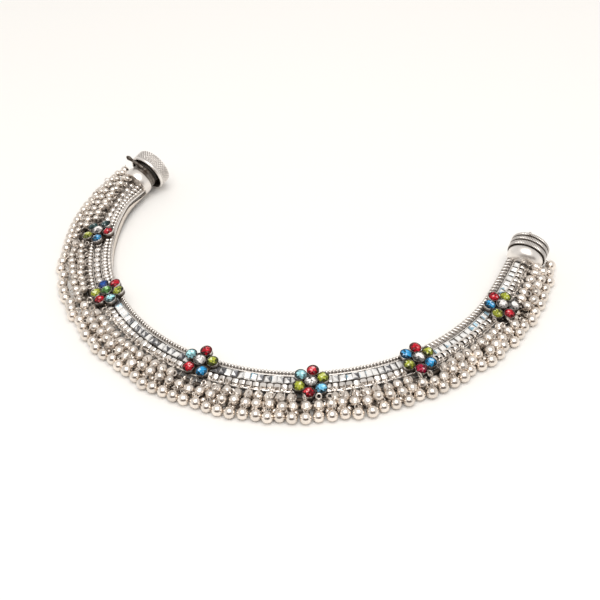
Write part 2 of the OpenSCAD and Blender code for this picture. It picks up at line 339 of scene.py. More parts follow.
def raise_ends(points, axes=None):
    """Lifts what lies past the two end flowers, and turns its axes to match."""
    for bend, tilt, side in BENDS:
        b, t = math.radians(bend), math.radians(tilt)
        along, beyond, share = past_bend(points, bend, side)
        height = points[:, 2]
        lift = math.sin(t) * beyond + (math.cos(t) - 1) * share * height
        back = (1 - math.cos(t)) * beyond + math.sin(t) * share * height
        points = points + lift[:, None] * UP - back[:, None] * along
        if axes is not None:
            radial = np.array([math.sin(b), -math.cos(b), 0])
            axes = np.stack(
                [turned(axes[:, :, k], radial, side * t * share) for k in range(3)], axis=2)
    return points, axes


def smoothstep(share):
    """A share kept between 0 and 1, with a soft start and end."""
    share = np.clip(share, 0, 1)
    return share * share * (3 - 2 * share)


def ring_axes(sizes, angle):
    """For angles in degrees: the ray from the origin, the band's outward and along
    directions, and how far out its inner edge lies past the band's radius."""
    a = np.radians(angle)
    zero = 0 * a
    ray = np.stack([np.sin(a), -np.cos(a), zero], axis=-1)
    past = np.maximum(a - RIGHT_BEND, 0)
    reach = sizes.band_radius + STRAIGHTEN
    shift = (np.sqrt(reach ** 2 - (STRAIGHTEN * np.sin(past)) ** 2)
             - STRAIGHTEN * np.cos(past) - sizes.band_radius)
    bend_ray = np.array([math.sin(RIGHT_BEND), -math.cos(RIGHT_BEND), 0])
    out = unit(ray * (sizes.band_radius + shift)[..., None]
               + (past > 0)[..., None] * bend_ray * STRAIGHTEN)
    along = np.stack([-out[..., 1], out[..., 0], zero], axis=-1)
    return ray, out, along, shift


def band_frames(sizes, angle, across, above=0.0):
    """Places on the band, with axes that point across it, along it and up from it."""
    angle, across, above = np.broadcast_arrays(
        np.asarray(angle, float), np.asarray(across, float), np.asarray(above, float))
    ray, out, along, shift = ring_axes(sizes, angle)
    share = smoothstep((CURL_FROM - angle) / (CURL_FROM - CURL_TO))
    first = share * CURL_TURN - (1 - share) * SLOPE
    bend = share * CURL_BEND + FLAT_BEND
    inner = np.minimum(across, CURL_WIDTH)
    last = first - bend * inner
    outward = ((np.sin(first) - np.sin(last)) / bend + (across - inner) * np.cos(last)
               - share * CURL_IN)
    height = (sizes.crest_height + (np.cos(last) - np.cos(first)) / bend
              + (across - inner) * np.sin(last) - share * CURL_DOWN)
    c, s = np.cos(last)[:, None], np.sin(last)[:, None]
    across_axis = out * c + UP * s
    up_axis = UP * c - out * s
    points = (ray * (sizes.band_radius + shift)[:, None] + out * outward[:, None]
              + UP * height[:, None] + up_axis * above[:, None])
    return raise_ends(points, np.stack([across_axis, along, up_axis], axis=2))


def swept(sizes, section, angles, dark):
    """A closed section, drawn across and above the band, carried along it."""
    origins, axes = band_frames(sizes, angles, 0.0)
    section = np.asarray(section, float)
    local = np.stack([section[:, 0], 0 * section[:, 0], section[:, 1]], axis=1)
    return tube(np.einsum("nij,pj->npi", axes, local) + origins[:, None, :], dark)


def sweep_angles(start, end, per_degree=1.2, fewest=20):
    """Angles for what is swept from one angle to another, a little past both."""
    return np.linspace(start - 0.5, end + 0.5, max(fewest, int((end - start) * per_degree)))


def bed(sizes, start, end, edges, top, dark):
    """The plain bed that a row of the band stands on, between two edges across it, darkened towards the
    tarnish colour as painted shade under the row.
    """
    inner, outer = edges
    low = -sizes.row_thickness
    section = [(inner, low), (outer, low), (outer, top), (inner, top)]
    return swept(sizes, section, sweep_angles(start, end), dark)


def row_angles(start, end, pitch, radius):
    """Evenly spaced angles between two others, about one pitch apart."""
    length = math.radians(end - start) * radius
    count = max(2, round(length / pitch))
    return start + (np.arange(count) + 0.5) * (end - start) / count


def clasp_matrix(origin, axis):
    """A frame at a clasp half, with +Z along its axis and +X downwards."""
    z = Vector(axis).normalized()
    y = Vector((0, 0, 1)).cross(z).normalized()
    x = y.cross(z)
    return Matrix((
        (x.x, y.x, z.x, origin[0]), (x.y, y.y, z.y, origin[1]),
        (x.z, y.z, z.z, origin[2]), (0, 0, 0, 1)))


CAP_TURN = frame["joints"][0]
LEFT_CLASP = clasp_matrix(CAP_TURN["pos_m"], CAP_TURN["axis"])
SOCKET = next(m for m in frame["record"]["mounts"] if m["name"] == "clasp_socket")
# How far the socket's mount lies along the drum from its foot
SOCKET_MIDDLE = 3.7 * MM
RIGHT_CLASP = clasp_matrix(
    Vector(SOCKET["pos_m"]) - Vector(SOCKET["axis"]) * SOCKET_MIDDLE, SOCKET["axis"])
# How far along the cap's axis the left collar's face to the band lies
LEFT_COLLAR_FACE = -6.7 * MM
# The right collar swells from its flat face to its widest place, along the drum's axis
RIGHT_COLLAR_WIDEST = -1.4 * MM
RIGHT_FACE_RADIUS = 3.3 * MM
SWELL = 3.0 * MM
# The band is followed this far to each side, in degrees, to find where its rows end
FURTHEST = 104


def from_clasp(matrix, points):
    """How far along a clasp half's axis points lie, and how far off it."""
    offset = points - np.array(matrix.translation)
    axis = np.array(matrix.col[2][:3])
    along = offset @ axis
    return along, np.linalg.norm(offset - along[:, None] * axis, axis=1)


def band_ends(sizes, across):
    """Angles at which a row meets the collars, for a place across the band."""
    angles = np.linspace(-FURTHEST, FURTHEST, 20 * FURTHEST + 1)
    points, _ = band_frames(sizes, angles, across, -sizes.row_thickness / 2)
    along, _ = from_clasp(LEFT_CLASP, points)
    low = angles[(angles < 0) & (along < LEFT_COLLAR_FACE)].min()
    along, off = from_clasp(RIGHT_CLASP, points)
    bulge = np.sqrt(SWELL ** 2 - np.clip(off - RIGHT_FACE_RADIUS, 0, SWELL) ** 2)
    high = angles[(angles > 0) & (along < RIGHT_COLLAR_WIDEST - bulge)].max()
    return low, high


def build_piece(name, shape, material, nodes=(), body="anklet", smooth_below=40):
    """Makes one visible piece, which rides on a body and stands for CAD nodes."""
    mesh = bpy.data.meshes.new(name)
    mesh.from_pydata(shape.points.tolist(), [], shape.quads.tolist() + shape.tris.tolist())
    # dark carries the tarnish and the painted shade that the materials mix in; tone carries a random tone,
    # and on cut facets painted light, glints and reflections.
    for label, values in (("dark", shape.dark), ("tone", shape.tone)):
        layer = mesh.attributes.new(label, "FLOAT", "POINT")
        layer.data.foreach_set("value", values.astype(np.float32))
    mesh.polygons.foreach_set("use_smooth", np.ones(len(mesh.polygons), bool))
    mesh.set_sharp_from_angle(angle=math.radians(smooth_below))
    mesh.materials.append(material)
    mesh.update()
    piece = bpy.data.objects.new(name, mesh)
    bpy.context.scene.collection.objects.link(piece)
    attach(piece, body)
    if nodes:
        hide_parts(*nodes)
    return piece


class Nodes:
    """Adds nodes to a tree and links them."""

    def __init__(self, tree):
        self.tree = tree

    def add(self, kind, inputs=None, **settings):
        node = self.tree.nodes.new(kind)
        for key, value in settings.items():
            setattr(node, key, value)
        for key, value in (inputs or {}).items():
            if isinstance(value, bpy.types.NodeSocket):
                self.tree.links.new(value, node.inputs[key])
            else:
                node.inputs[key].default_value = value
        return node

    def attribute(self, name):
        return self.add("ShaderNodeAttribute", attribute_name=name).outputs["Fac"]

    def noise(self, scale, detail):
        place = self.add("ShaderNodeTexCoord").outputs["Object"]
        noise = self.add("ShaderNodeTexNoise", {"Vector": place, "Scale": scale, "Detail": detail})
        return noise.outputs["Fac"]

    def math(self, operation, *values, clamp=False):
        inputs = dict(enumerate(values))
        return self.add("ShaderNodeMath", inputs, operation=operation, use_clamp=clamp).outputs[0]

    def span(self, value, low, high, kind="LINEAR"):
        """How far a value lies from low to high, from 0 to 1."""
        inputs = {"Value": value, "From Min": low, "From Max": high}
        return self.add("ShaderNodeMapRange", inputs, interpolation_type=kind).outputs["Result"]

    def mix(self, factor, first, second):
        inputs = {"Factor": factor, "A": first, "B": second}
        return self.add("ShaderNodeMix", inputs, data_type="RGBA").outputs["Result"]

    def ramp(self, value, stops):
        """A colour by a value, from rows of position and colour."""
        node = self.add("ShaderNodeValToRGB", {"Fac": value})
        elements = node.color_ramp.elements
        while len(elements) < len(stops):
            elements.new(0.5)
        for element, (position, colour) in zip(elements, stops):
            element.position = position
            element.color = (*np.clip(colour, 0, 1), 1)
        return node.outputs["Color"]

    def surface(self, inputs):
        """The shader that ends a material, from its inputs."""
        shader = self.add("ShaderNodeBsdfPrincipled", inputs)
        self.add("ShaderNodeOutputMaterial", {"Surface": shader.outputs["BSDF"]})


def emptied(owner):
    """The nodes of a material or a world, none yet."""
    owner.use_nodes = True
    owner.node_tree.nodes.clear()
    return Nodes(owner.node_tree)


def material_once(label, fill):
    """The material of a name, to which a function adds the nodes when it is new."""
    if label not in bpy.data.materials:
        fill(emptied(bpy.data.materials.new(label)))
    return bpy.data.materials[label]


# Noise in the finishes, in waves per metre: tarnish in soft patches, and fine scratches
PATCHES, SCRATCHES = 420.0, 2600.0
# How bright silver is at a tone of 0, and how much brighter at a tone of 1
SHADE, SHADE_SPREAD = 0.88, 0.24


def worn_and_shaded_silver_group():
    """Silver that darkens towards the tarnish colour in its gaps, as tarnish and painted shade, and in soft
    patches of tarnish, with fine scratches.
    """
    name = "Worn and shaded silver"
    if name in bpy.data.node_groups:
        return bpy.data.node_groups[name]
    group = bpy.data.node_groups.new(name, "ShaderNodeTree")
    sockets = {
        "INPUT": {"Silver": "Color", "Tarnish and shade": "Color", "Gap": "Float", "Amount": "Float",
                  "Polish": "Float", "Grain": "Float", "Tone": "Float"},
        "OUTPUT": {"Color": "Color", "Roughness": "Float", "Height": "Float"}}
    for way, labels in sockets.items():
        for label, kind in labels.items():
            group.interface.new_socket(label, in_out=way, socket_type="NodeSocket" + kind)
    n = Nodes(group)
    given = n.add("NodeGroupInput").outputs
    patch = n.span(n.noise(PATCHES, 3.0), 0.42, 0.72)
    spread = n.math("MULTIPLY", patch, given["Amount"])
    # The gaps' darkening is tarnish and painted shade; the patches are tarnish.
    shaded_and_worn = n.math("ADD", given["Gap"], spread, clamp=True)
    shade = n.math("MULTIPLY_ADD", given["Tone"], SHADE_SPREAD, SHADE)
    toned = n.add("ShaderNodeVectorMath", {0: given["Silver"], "Scale": shade}, operation="SCALE")
    rough = n.math("ADD", given["Polish"], n.math("MULTIPLY", shaded_and_worn, 0.35))
    n.add("NodeGroupOutput", {
        "Color": n.mix(shaded_and_worn, toned.outputs["Vector"], given["Tarnish and shade"]),
        "Roughness": n.math("MULTIPLY_ADD", patch, 0.06, rough),
        "Height": n.math("MULTIPLY", n.noise(SCRATCHES, 2.0), given["Grain"])})
    return group


def fill_silver(n, colour, tarnish_and_shade, amount, polish, grain):
    """Worn silver with painted shade: the dark attribute darkens it in its gaps. amount is the tarnish in the
    open, polish the roughness where it is clean.
    """
    shaded_and_worn = n.add("ShaderNodeGroup", node_tree=worn_and_shaded_silver_group())
    values = {"Silver": colour, "Tarnish and shade": tarnish_and_shade, "Amount": amount, "Polish": polish, "Grain": grain}
    for key, value in values.items():
        shaded_and_worn.inputs[key].default_value = value
    n.tree.links.new(n.attribute("dark"), shaded_and_worn.inputs["Gap"])
    n.tree.links.new(n.attribute("tone"), shaded_and_worn.inputs["Tone"])
    bump = n.add("ShaderNodeBump", {
        "Height": shaded_and_worn.outputs["Height"], "Strength": 0.25, "Distance": 0.04 * MM})
    n.surface({
        "Base Color": shaded_and_worn.outputs["Color"], "Roughness": shaded_and_worn.outputs["Roughness"],
        "Metallic": 1.0, "Normal": bump.outputs["Normal"]})


def silver(kind):
    """The silver finishes of the pieces, by name."""
    colours = bpy.context.scene.anklet_colours
    plain, bright, tarnish_and_shade = list(colours.silver), list(colours.polish), list(colours.tarnish_and_shade)
    # dull: silver at 0.45 of its brightness, which the neck and the catch pin are drawn in.
    dull = [0.45 * c for c in plain[:3]] + [1]
    # Columns: colour, tarnish in the open, roughness, depth of the scratches
    finishes = {
        "cast silver": (plain, 0.12, 0.24, 0.5),
        "ball silver": (plain, 0.06, 0.2, 0.3),
        "polished silver": (bright, 0.06, 0.2, 0.2),
        "satin silver": (plain, 0.12, 0.3, 0.6),
        "soft silver": (bright, 0.04, 0.33, 0.3),
        "dull dark silver": (dull, 0.6, 0.3, 0.6),
    }
    colour, amount, polish, grain = finishes[kind]
    return material_once(kind, lambda n: fill_silver(n, colour, tarnish_and_shade, amount, polish, grain))


# Painted reflections: the colours that the mirror-bright links show by their tone, which stand for what each
# of them happens to reflect
PAINTED_REFLECTION_COLOURS = (
    (0.0, (0.1, 0.1, 0.11)), (0.1, (0.24, 0.24, 0.25)), (0.22, (0.62, 0.62, 0.62)),
    (0.38, (0.92, 0.91, 0.89)), (0.88, (1.0, 1.0, 0.99)), (0.97, (0.62, 0.74, 0.8)),
    (1.0, (0.3, 0.5, 0.62)))


def fill_painted_reflections(n):
    """Flat-cut silver with painted reflections: each link is painted in the tone of what it reflects, and the
    dark attribute darkens its lower sides towards the tarnish colour as painted shade.
    """
    stirred = n.math("MULTIPLY_ADD", n.noise(650.0, 1.0), 0.6, n.attribute("tone"))
    shown = n.ramp(n.math("SUBTRACT", stirred, 0.3), PAINTED_REFLECTION_COLOURS)
    tarnish_and_shade = list(bpy.context.scene.anklet_colours.tarnish_and_shade)
    n.surface({
        "Base Color": n.mix(n.attribute("dark"), shown, tarnish_and_shade),
        "Roughness": n.math("MULTIPLY", n.noise(1500.0, 2.0), 0.12), "Metallic": 0.25})


def glass(name):
    """Foil-backed cut glass with painted light: each facet's tone gives it a darker or lighter shade of its
    colour, up to painted white glints.
    """
    base = np.array(GLASS[name])
    # Painted shade at low tones, painted highlights at high tones, and near-white painted glints at the top.
    stops = ((0.15, base * 0.05), (0.36, base * 0.3), (0.56, base * 0.85), (0.74, base * 1.25),
             (0.88, base * 1.35 + 0.06), (1.0, base + 0.45))

    def fill(n):
        stirred = n.math("MULTIPLY_ADD", n.noise(700.0, 1.0), 0.5, n.attribute("tone"))
        n.surface({
            "Base Color": n.ramp(stirred, stops), "Roughness": 0.1, "Metallic": 0.0,
            "IOR": 1.36, "Coat Weight": 0.1, "Coat Roughness": 0.03})

    return material_once(name + " glass", fill)


class ANKLET_OT_stage(bpy.types.Operator):
    """Makes the camera, the pale table and the soft lights"""
    bl_idname = "anklet.stage"
    bl_label = "Stage"

    def execute(self, context):
        make_camera(context.scene)
        make_table(context.scene)
        make_lights(context.scene)
        return {"FINISHED"}


def looking(place, target, roll=0.0):
    """The matrix of a camera or light that looks from a place at a target."""
    turn = (target - place).to_track_quat("-Z", "Y").to_matrix() @ Matrix.Rotation(roll, 3, "Z")
    return Matrix.Translation(place) @ turn.to_4x4()


CAMERA_PLACE = Vector((125.9, -320.1, 267.8)) * MM
CAMERA_TARGET = Vector((7.9, -28.1, 0)) * MM
CAMERA_ROLL = math.radians(-2.26)
SENSOR_WIDTH, FOCAL_LENGTH = 36, 72


def make_camera(scene):
    """The camera stands where the photograph was taken from."""
    data = bpy.data.cameras.new("camera")
    data.sensor_width = SENSOR_WIDTH
    data.lens = FOCAL_LENGTH
    data.clip_start = 0.01
    camera = bpy.data.objects.new("camera", data)
    scene.collection.objects.link(camera)
    camera.matrix_world = looking(CAMERA_PLACE, CAMERA_TARGET, CAMERA_ROLL)
    scene.camera = camera
    scene.view_settings.view_transform = "Standard"


def fill_table(n):
    """A pale matt table top with faint clouds."""
    pale = list(bpy.context.scene.anklet_colours.table)
    dimmer = [c * 0.985 for c in pale[:3]] + [1]
    n.surface({
        "Base Color": n.mix(n.noise(6.0, 2.0), pale, dimmer), "Roughness": 0.75,
        "Specular IOR Level": 0.2})


def make_table(scene):
    """A wide pale table top, whose surface is where the anklet rests."""
    reach = 4.0
    corners = [(-reach, -reach, 0), (reach, -reach, 0), (reach, reach, 0), (-reach, reach, 0)]
    mesh = bpy.data.meshes.new("table")
    mesh.from_pydata(corners, [], [(0, 1, 2, 3)])
    mesh.materials.append(material_once("table", fill_table))
    table = bpy.data.objects.new("table", mesh)
    scene.collection.objects.link(table)


# The way from the anklet to the camera, level with the table
CAMERA_SIDE = (0.375, -0.927, 0.0)
# The room's light by height of view, from level to straight up
ROOM_LIGHT = (
    (0.0, (0.88, 0.86, 0.83)), (0.35, (0.82, 0.8, 0.78)), (0.7, (0.72, 0.7, 0.68)),
    (1.0, (0.66, 0.64, 0.62)))
# The room's colour low down behind the camera
DARK_SIDE = (0.12, 0.09, 0.075, 1)
SOFTBOX_PLACE, SOFTBOX_AIM = Vector((0.104, -0.258, 0.856)), Vector((0, -0.03, 0))


def make_lights(scene):
    """One softbox above the camera, and a pale room that is dark low behind the camera."""
    data = bpy.data.lights.new("softbox", "AREA")
    data.shape = "SQUARE"
    data.size = 0.75
    data.energy = 5.0
    data.color = (1, 0.985, 0.96)
    light = bpy.data.objects.new("softbox", data)
    scene.collection.objects.link(light)
    light.matrix_world = looking(SOFTBOX_PLACE, SOFTBOX_AIM)
    scene.world = bpy.data.worlds.new("room")
    n = emptied(scene.world)
    direction = n.add("ShaderNodeTexCoord").outputs["Generated"]
    height = n.add("ShaderNodeSeparateXYZ", {"Vector": direction}).outputs["Z"]
    towards = n.add("ShaderNodeVectorMath", {0: direction, 1: CAMERA_SIDE}, operation="DOT_PRODUCT")
    facing = n.span(towards.outputs["Value"], 0.5, 0.78, "SMOOTHSTEP")
    low = n.span(height, 0.66, 0.42, "SMOOTHSTEP")
    colour = n.mix(n.math("MULTIPLY", facing, low), n.ramp(height, ROOM_LIGHT), DARK_SIDE)
    room = n.add("ShaderNodeBackground", {"Color": colour, "Strength": 1.0})
    n.add("ShaderNodeOutputWorld", {"Surface": room.outputs[0]})


# At the left end the wall's foot leaves the table: where it starts to rise, and by how much
FOOT_FROM = -74.0
FOOT_RISE = 1.0 * MM
# The places across the band at which the ends of the wall and of the rail are found
WALL_ACROSS, RAIL_ACROSS = 0.5 * MM, 1.2 * MM
# How far past those ends the wall reaches, in degrees
WALL_PAST = 0.6
# How far the wall's top stands into the rail above it, and its foot out under the rail
WALL_INTO_RAIL = 0.15 * MM
WALL_LIP = 0.1 * MM
# The wall's section. Columns: place out from its inner face in millimetres, share of the wall's height,
# painted shade: dark at its foot as a contact shadow, on its outer face, and lightly elsewhere. A place of
# None is the wall's outer face.
WALL_SECTION = (
    (0, 0.03, 0.8), (-0.08, 0.4, 0.15), (-0.08, 0.75, 0.0), (0, 1, 0.1), (None, 1, 0.7),
    (None, 0, 0.8), (0.12, 0, 0.9))


class ANKLET_OT_inner_wall(bpy.types.Operator):
    """Makes the smooth upright strip on the ankle side"""
    bl_idname = "anklet.inner_wall"
    bl_label = "Inner wall"

    def execute(self, context):
        sizes = context.scene.anklet_sizes
        low, high = band_ends(sizes, WALL_ACROSS)
        angles = np.linspace(low - WALL_PAST, high + WALL_PAST, 200)
        ray, out, _, shift = ring_axes(sizes, angles)
        curled = smoothstep((CURL_FROM - angles) / (CURL_FROM - CURL_TO))
        foot = FOOT_RISE * smoothstep((FOOT_FROM - angles) / (FOOT_FROM - CURL_FROM))
        head = (sizes.crest_height - sizes.row_thickness / math.cos(SLOPE) + WALL_INTO_RAIL
                - curled * CURL_DOWN)
        rings = []
        for place, share, _ in WALL_SECTION:
            offset = sizes.wall_thickness if place is None else place * MM
            points = (ray * (sizes.band_radius + shift)[:, None]
                      + out * (offset - WALL_LIP - curled * CURL_IN)[:, None]
                      + UP * (foot + (head - foot) * share)[:, None])
            rings.append(raise_ends(points)[0])
        wall = tube(np.stack(rings, axis=1), [dark for _, _, dark in WALL_SECTION], inward=True)
        build_piece("inner_wall_strip", wall, silver("satin silver"),
                    ("inner_wall", "inner_wall_left", "inner_wall_right"))
        return {"FINISHED"}


# The rows of the band, zone by zone. Lengths are in millimetres, across the band from its
# inner edge. Columns: first and last angle, inner edge of the milled rail, its width, its
# pitch, radius of its ribs, their slant.
RAIL_ZONES = (
    (-110, -73.4, 0.75, 1.15, 1.6, 0.44, 0.4),
    (-73.4, -46.2, 0.3, 1.35, 2.0, 0.5, 0.5),
    (-46.2, 48.7, -0.4, 1.6, 1.12, 0.33, 0.1),
    (48.7, 110, -0.3, 2.6, 1.45, 0.36, 0.5),
)


def clipped(zone, ends):
    """A zone's first and last angle, kept between two ends."""
    return max(zone[0], ends[0]), min(zone[1], ends[1])


# How far the middle of a rib's bend lies below its crest, and how far the crest stands above
# the slope
RIB_DROP, RIB_LIFT = 0.95 * MM, 0.15 * MM
# Spread of the height at which the ribs stand
RIB_SPREAD = 0.03 * MM


def rib(width, thickness, slant):
    """One rib of the milled rail: a round bar bent over the rail's crest."""
    a = np.linspace(math.radians(-25), math.radians(205), 11)
    middle = width / 2
    path = np.stack([
        middle - np.cos(a) * (middle - thickness),
        slant * -np.cos(a),
        RIB_LIFT - RIB_DROP + np.sin(a) * (RIB_DROP - thickness)], axis=1)
    shape = wire(path, thickness, 8)
    # Painted shade: the rib darkens lower down, where it goes into the groove under the crest.
    shape.dark = np.clip((-0.5 * MM - shape.points[:, 2]) / (0.9 * MM), 0, 0.6)
    return shape


class ANKLET_OT_milled_rail(bpy.types.Operator):
    """Makes the rail of fine ribs along the inner crest"""
    bl_idname = "anklet.milled_rail"
    bl_label = "Milled rail"

    def execute(self, context):
        sizes = context.scene.anklet_sizes
        rng = np.random.default_rng(11)
        shapes = []
        ends = band_ends(sizes, RAIL_ACROSS)
        for zone in RAIL_ZONES:
            start, end = clipped(zone, ends)
            inner, width, pitch, radius, slant = (v * MM for v in zone[2:])
            angles = row_angles(start, end, pitch, sizes.band_radius)
            places = band_frames(sizes, angles, inner, rng.normal(0, RIB_SPREAD, len(angles)))
            tones = rng.random(len(angles))
            shapes.append(copies(rib(width, radius, slant), *places, tones=tones))
            near, outer = inner + 0.25 * MM, inner + width
            far, low = outer - 0.1 * MM, -sizes.row_thickness
            # A core under the ribs, painted dark in the tarnish colour as the shade between them.
            core = [(near, low), (far, low), (far, -0.8 * MM), ((inner + outer) / 2, -0.35 * MM),
                    (near, -0.8 * MM)]
            shapes.append(swept(sizes, core, sweep_angles(start, end), 0.6))
        build_piece("ribbed_rail", joined(shapes), silver("polished silver"),
                    ("milled_rail", "milled_rail_left", "milled_rail_right"), smooth_below=60)
        return {"FINISHED"}


# The wires and smooth rails that run along the rows. Lengths are in millimetres. Columns: first and last
# angle, place across the band, radius, height above the slope, darkening towards the tarnish colour: tarnish,
# and on the wires low in the grooves painted shade.
EDGE_WIRES = (
    (-110, -73.4, 0.32, 0.42, -0.5, 0.0),
    (-110, -73.4, 4.4, 0.16, -0.75, 0.3),
    (-110, -73.4, 7.1, 0.2, -0.8, 0.2),
    (-73.4, -46.2, 0.1, 0.22, -0.6, 0.05),
    (-73.4, -46.2, 4.15, 0.17, -0.7, 0.2),
    (-73.4, -46.2, 7.15, 0.17, -0.75, 0.2),
    (-46.2, 48.7, 1.28, 0.15, -0.5, 0.42),
    (-46.2, 48.7, 1.64, 0.17, -0.35, 0.0),
    (-46.2, 48.7, 7.35, 0.36, -0.7, 0.0),
    (48.7, 110, 2.62, 0.2, -0.4, 0.0),
    (48.7, 110, 4.95, 0.3, -0.3, 0.0),
    (48.7, 110, 7.1, 0.18, -0.5, 0.1),
    (48.7, 110, 7.9, 0.36, -0.5, 0.0),
)


# The stretches across the band whose wires belong to the links and to the beads
LINK_SIDE, BEAD_SIDE = (0.0, 6.0), (6.0, 9.0)


def edge_wires(sizes, stretch):
    """The wires that lie in a stretch across the band, as shapes."""
    shapes = []
    for zone in EDGE_WIRES:
        if not stretch[0] <= zone[2] < stretch[1]:
            continue
        across, radius, above = (v * MM for v in zone[2:5])
        start, end = clipped(zone, band_ends(sizes, across))
        path, _ = band_frames(sizes, sweep_angles(start, end, 1.5, 12), across, above)
        shapes.append(wire(path, radius, 10, dark=zone[5]))
    return shapes


# A link's height, the drop of its bevel, and its table's share of its length and width
LINK_HEIGHT, LINK_BEVEL, LINK_TABLE = 0.7 * MM, 0.245 * MM, 0.66
# Where the links' tops and their bed's top lie from the slope, and how far past a row's edges
# the bed reaches
LINK_TOP, LINK_BED, LINK_BED_PAST = -0.15 * MM, -0.9 * MM, 0.1 * MM


def flat_link(length, width):
    """A flat-cut link: a square plate with bevelled sides and a table cut in two facets."""
    points = []
    for z, share in ((-LINK_HEIGHT, 1), (-LINK_BEVEL, 1), (0, LINK_TABLE)):
        x, y = share * width / 2, share * length / 2
        points += [(-x, -y, z), (x, -y, z), (x, y, z), (-x, y, z)]
    faces = [
        (0, 1, 5, 4), (1, 2, 6, 5), (2, 3, 7, 6), (3, 0, 4, 7),
        (4, 5, 9, 8), (5, 6, 10, 9), (6, 7, 11, 10), (7, 4, 8, 11), (8, 9, 10), (8, 10, 11)]
    # Painted reflections: each facet has its own tone, lighter or darker as if it caught the light
    # differently.
    tones = [0.5, 0.5, 0.5, 0.5, 0.8, 0.45, 0.2, 0.65, 0.66, 0.36]
    shape = facets(points, faces, tones)
    # Painted shade: the sides below the bevel darken towards the bed.
    shape.dark = np.clip(
        (-LINK_BEVEL - shape.points[:, 2]) / (LINK_HEIGHT - LINK_BEVEL), 0, 0.8)
    return shape


# The rows of flat links. Lengths are in millimetres. Columns: first and last angle, inner and outer edge,
# pitch, length of a link, spread of its tilt in degrees, its darkest painted reflection tone.
LINK_ZONES = (
    (-46.2, 48.7, 1.9, 4.25, 2.16, 1.95, 9, 0.0),
    (48.7, 110, 2.85, 4.75, 2.35, 1.8, 6, 0.35),
)


def tilted(axes, tilts, turns):
    """Axes turned a little about their own first and second directions, in degrees."""
    result = []
    for own, tilt, turn in zip(axes, np.radians(tilts), np.radians(turns)):
        small = Matrix.Rotation(tilt, 3, "X") @ Matrix.Rotation(turn, 3, "Y")
        result.append(own @ np.array(small))
    return np.array(result)


class ANKLET_OT_flat_link_row(bpy.types.Operator):
    """Makes the row of mirror-bright flat-cut links between its edge wires"""
    bl_idname = "anklet.flat_link_row"
    bl_label = "Flat link row"

    def execute(self, context):
        sizes = context.scene.anklet_sizes
        rng = np.random.default_rng(23)
        links = []
        wires = edge_wires(sizes, LINK_SIDE)
        for zone in LINK_ZONES:
            inner, outer, pitch, length = (v * MM for v in zone[2:6])
            middle = (inner + outer) / 2
            start, end = clipped(zone, band_ends(sizes, middle))
            angles = row_angles(start, end, pitch, sizes.band_radius + middle)
            count = len(angles)
            link = flat_link(length, outer - inner)
            origins, axes = band_frames(sizes, angles, middle, LINK_TOP)
            axes = tilted(axes, rng.normal(0, zone[6], count), rng.normal(0, zone[6], count))
            # Each link gets a random painted reflection tone.
            tones = zone[7] + (0.85 - zone[7]) * rng.random(count)
            links.append(copies(link, origins, axes, tones=tones))
            edges = inner - LINK_BED_PAST, outer + LINK_BED_PAST
            # The links' bed is painted dark as the shade under them.
            wires.append(bed(sizes, start, end, edges, LINK_BED, 0.75))
        mirror = material_once("silver with painted reflections", fill_painted_reflections)
        build_piece("flat_links", joined(links), mirror,
                    ("flat_link_row", "flat_link_row_left", "flat_link_row_right"), smooth_below=1)
        build_piece("link_rails", joined(wires), silver("polished silver"))
        return {"FINISHED"}


def cut_bead(length, width, height, sides, fullness):
    """A bead turned about the band's own direction: round at a fullness of 2, fuller above."""
    levels = np.sin(np.linspace(-1.45, 1.45, 9)) / 2
    profile = [((1 - abs(2 * h) ** fullness) ** (1 / fullness), h, 0) for h in levels]
    bead = lathe(profile, sides)
    x, y, z = bead.points.T
    points = np.stack([x * width / 2, z * length, -y * height / 2], axis=1)
    shape = Shape(points, bead.quads, bead.tris)
    # Painted shade: each bead darkens towards the tarnish colour below its middle.
    shape.dark = np.clip(-points[:, 2] / (height / 2) - 0.1, 0, 0.9)
    return shape


# The rows of beads. Lengths are in millimetres. Columns: first and last angle, middle of the row
# across the band, pitch, bead's length, width and height, sides of its cut, fullness.
BEAD_ZONES = (
    (-110, -73.4, 3.1, 1.75, 1.5, 2.3, 1.9, 18, 2.2),
    (-110, -73.4, 5.75, 3.0, 2.75, 2.6, 2.5, 20, 2.0),
    (-73.4, -46.2, 2.75, 1.87, 1.6, 2.4, 1.9, 18, 2.2),
    (-73.4, -46.2, 5.65, 3.0, 2.55, 2.5, 2.2, 18, 2.4),
    (-73.4, -46.2, 8.35, 1.85, 1.5, 1.9, 1.8, 16, 2.2),
    (-46.2, 48.7, 5.75, 2.3, 2.2, 2.8, 2.2, 6, 3.6),
    (48.7, 110, 6.05, 2.3, 1.65, 1.95, 1.3, 8, 4.0),
)
# How far a bead's top stands above the slope, and its bed's top lies below it
BEAD_LIFT, BEAD_BED = 0.2 * MM, -1.3 * MM
# Spread of a bead's tilt and of its turn, in degrees
BEAD_TILT, BEAD_TURN = 4, 8


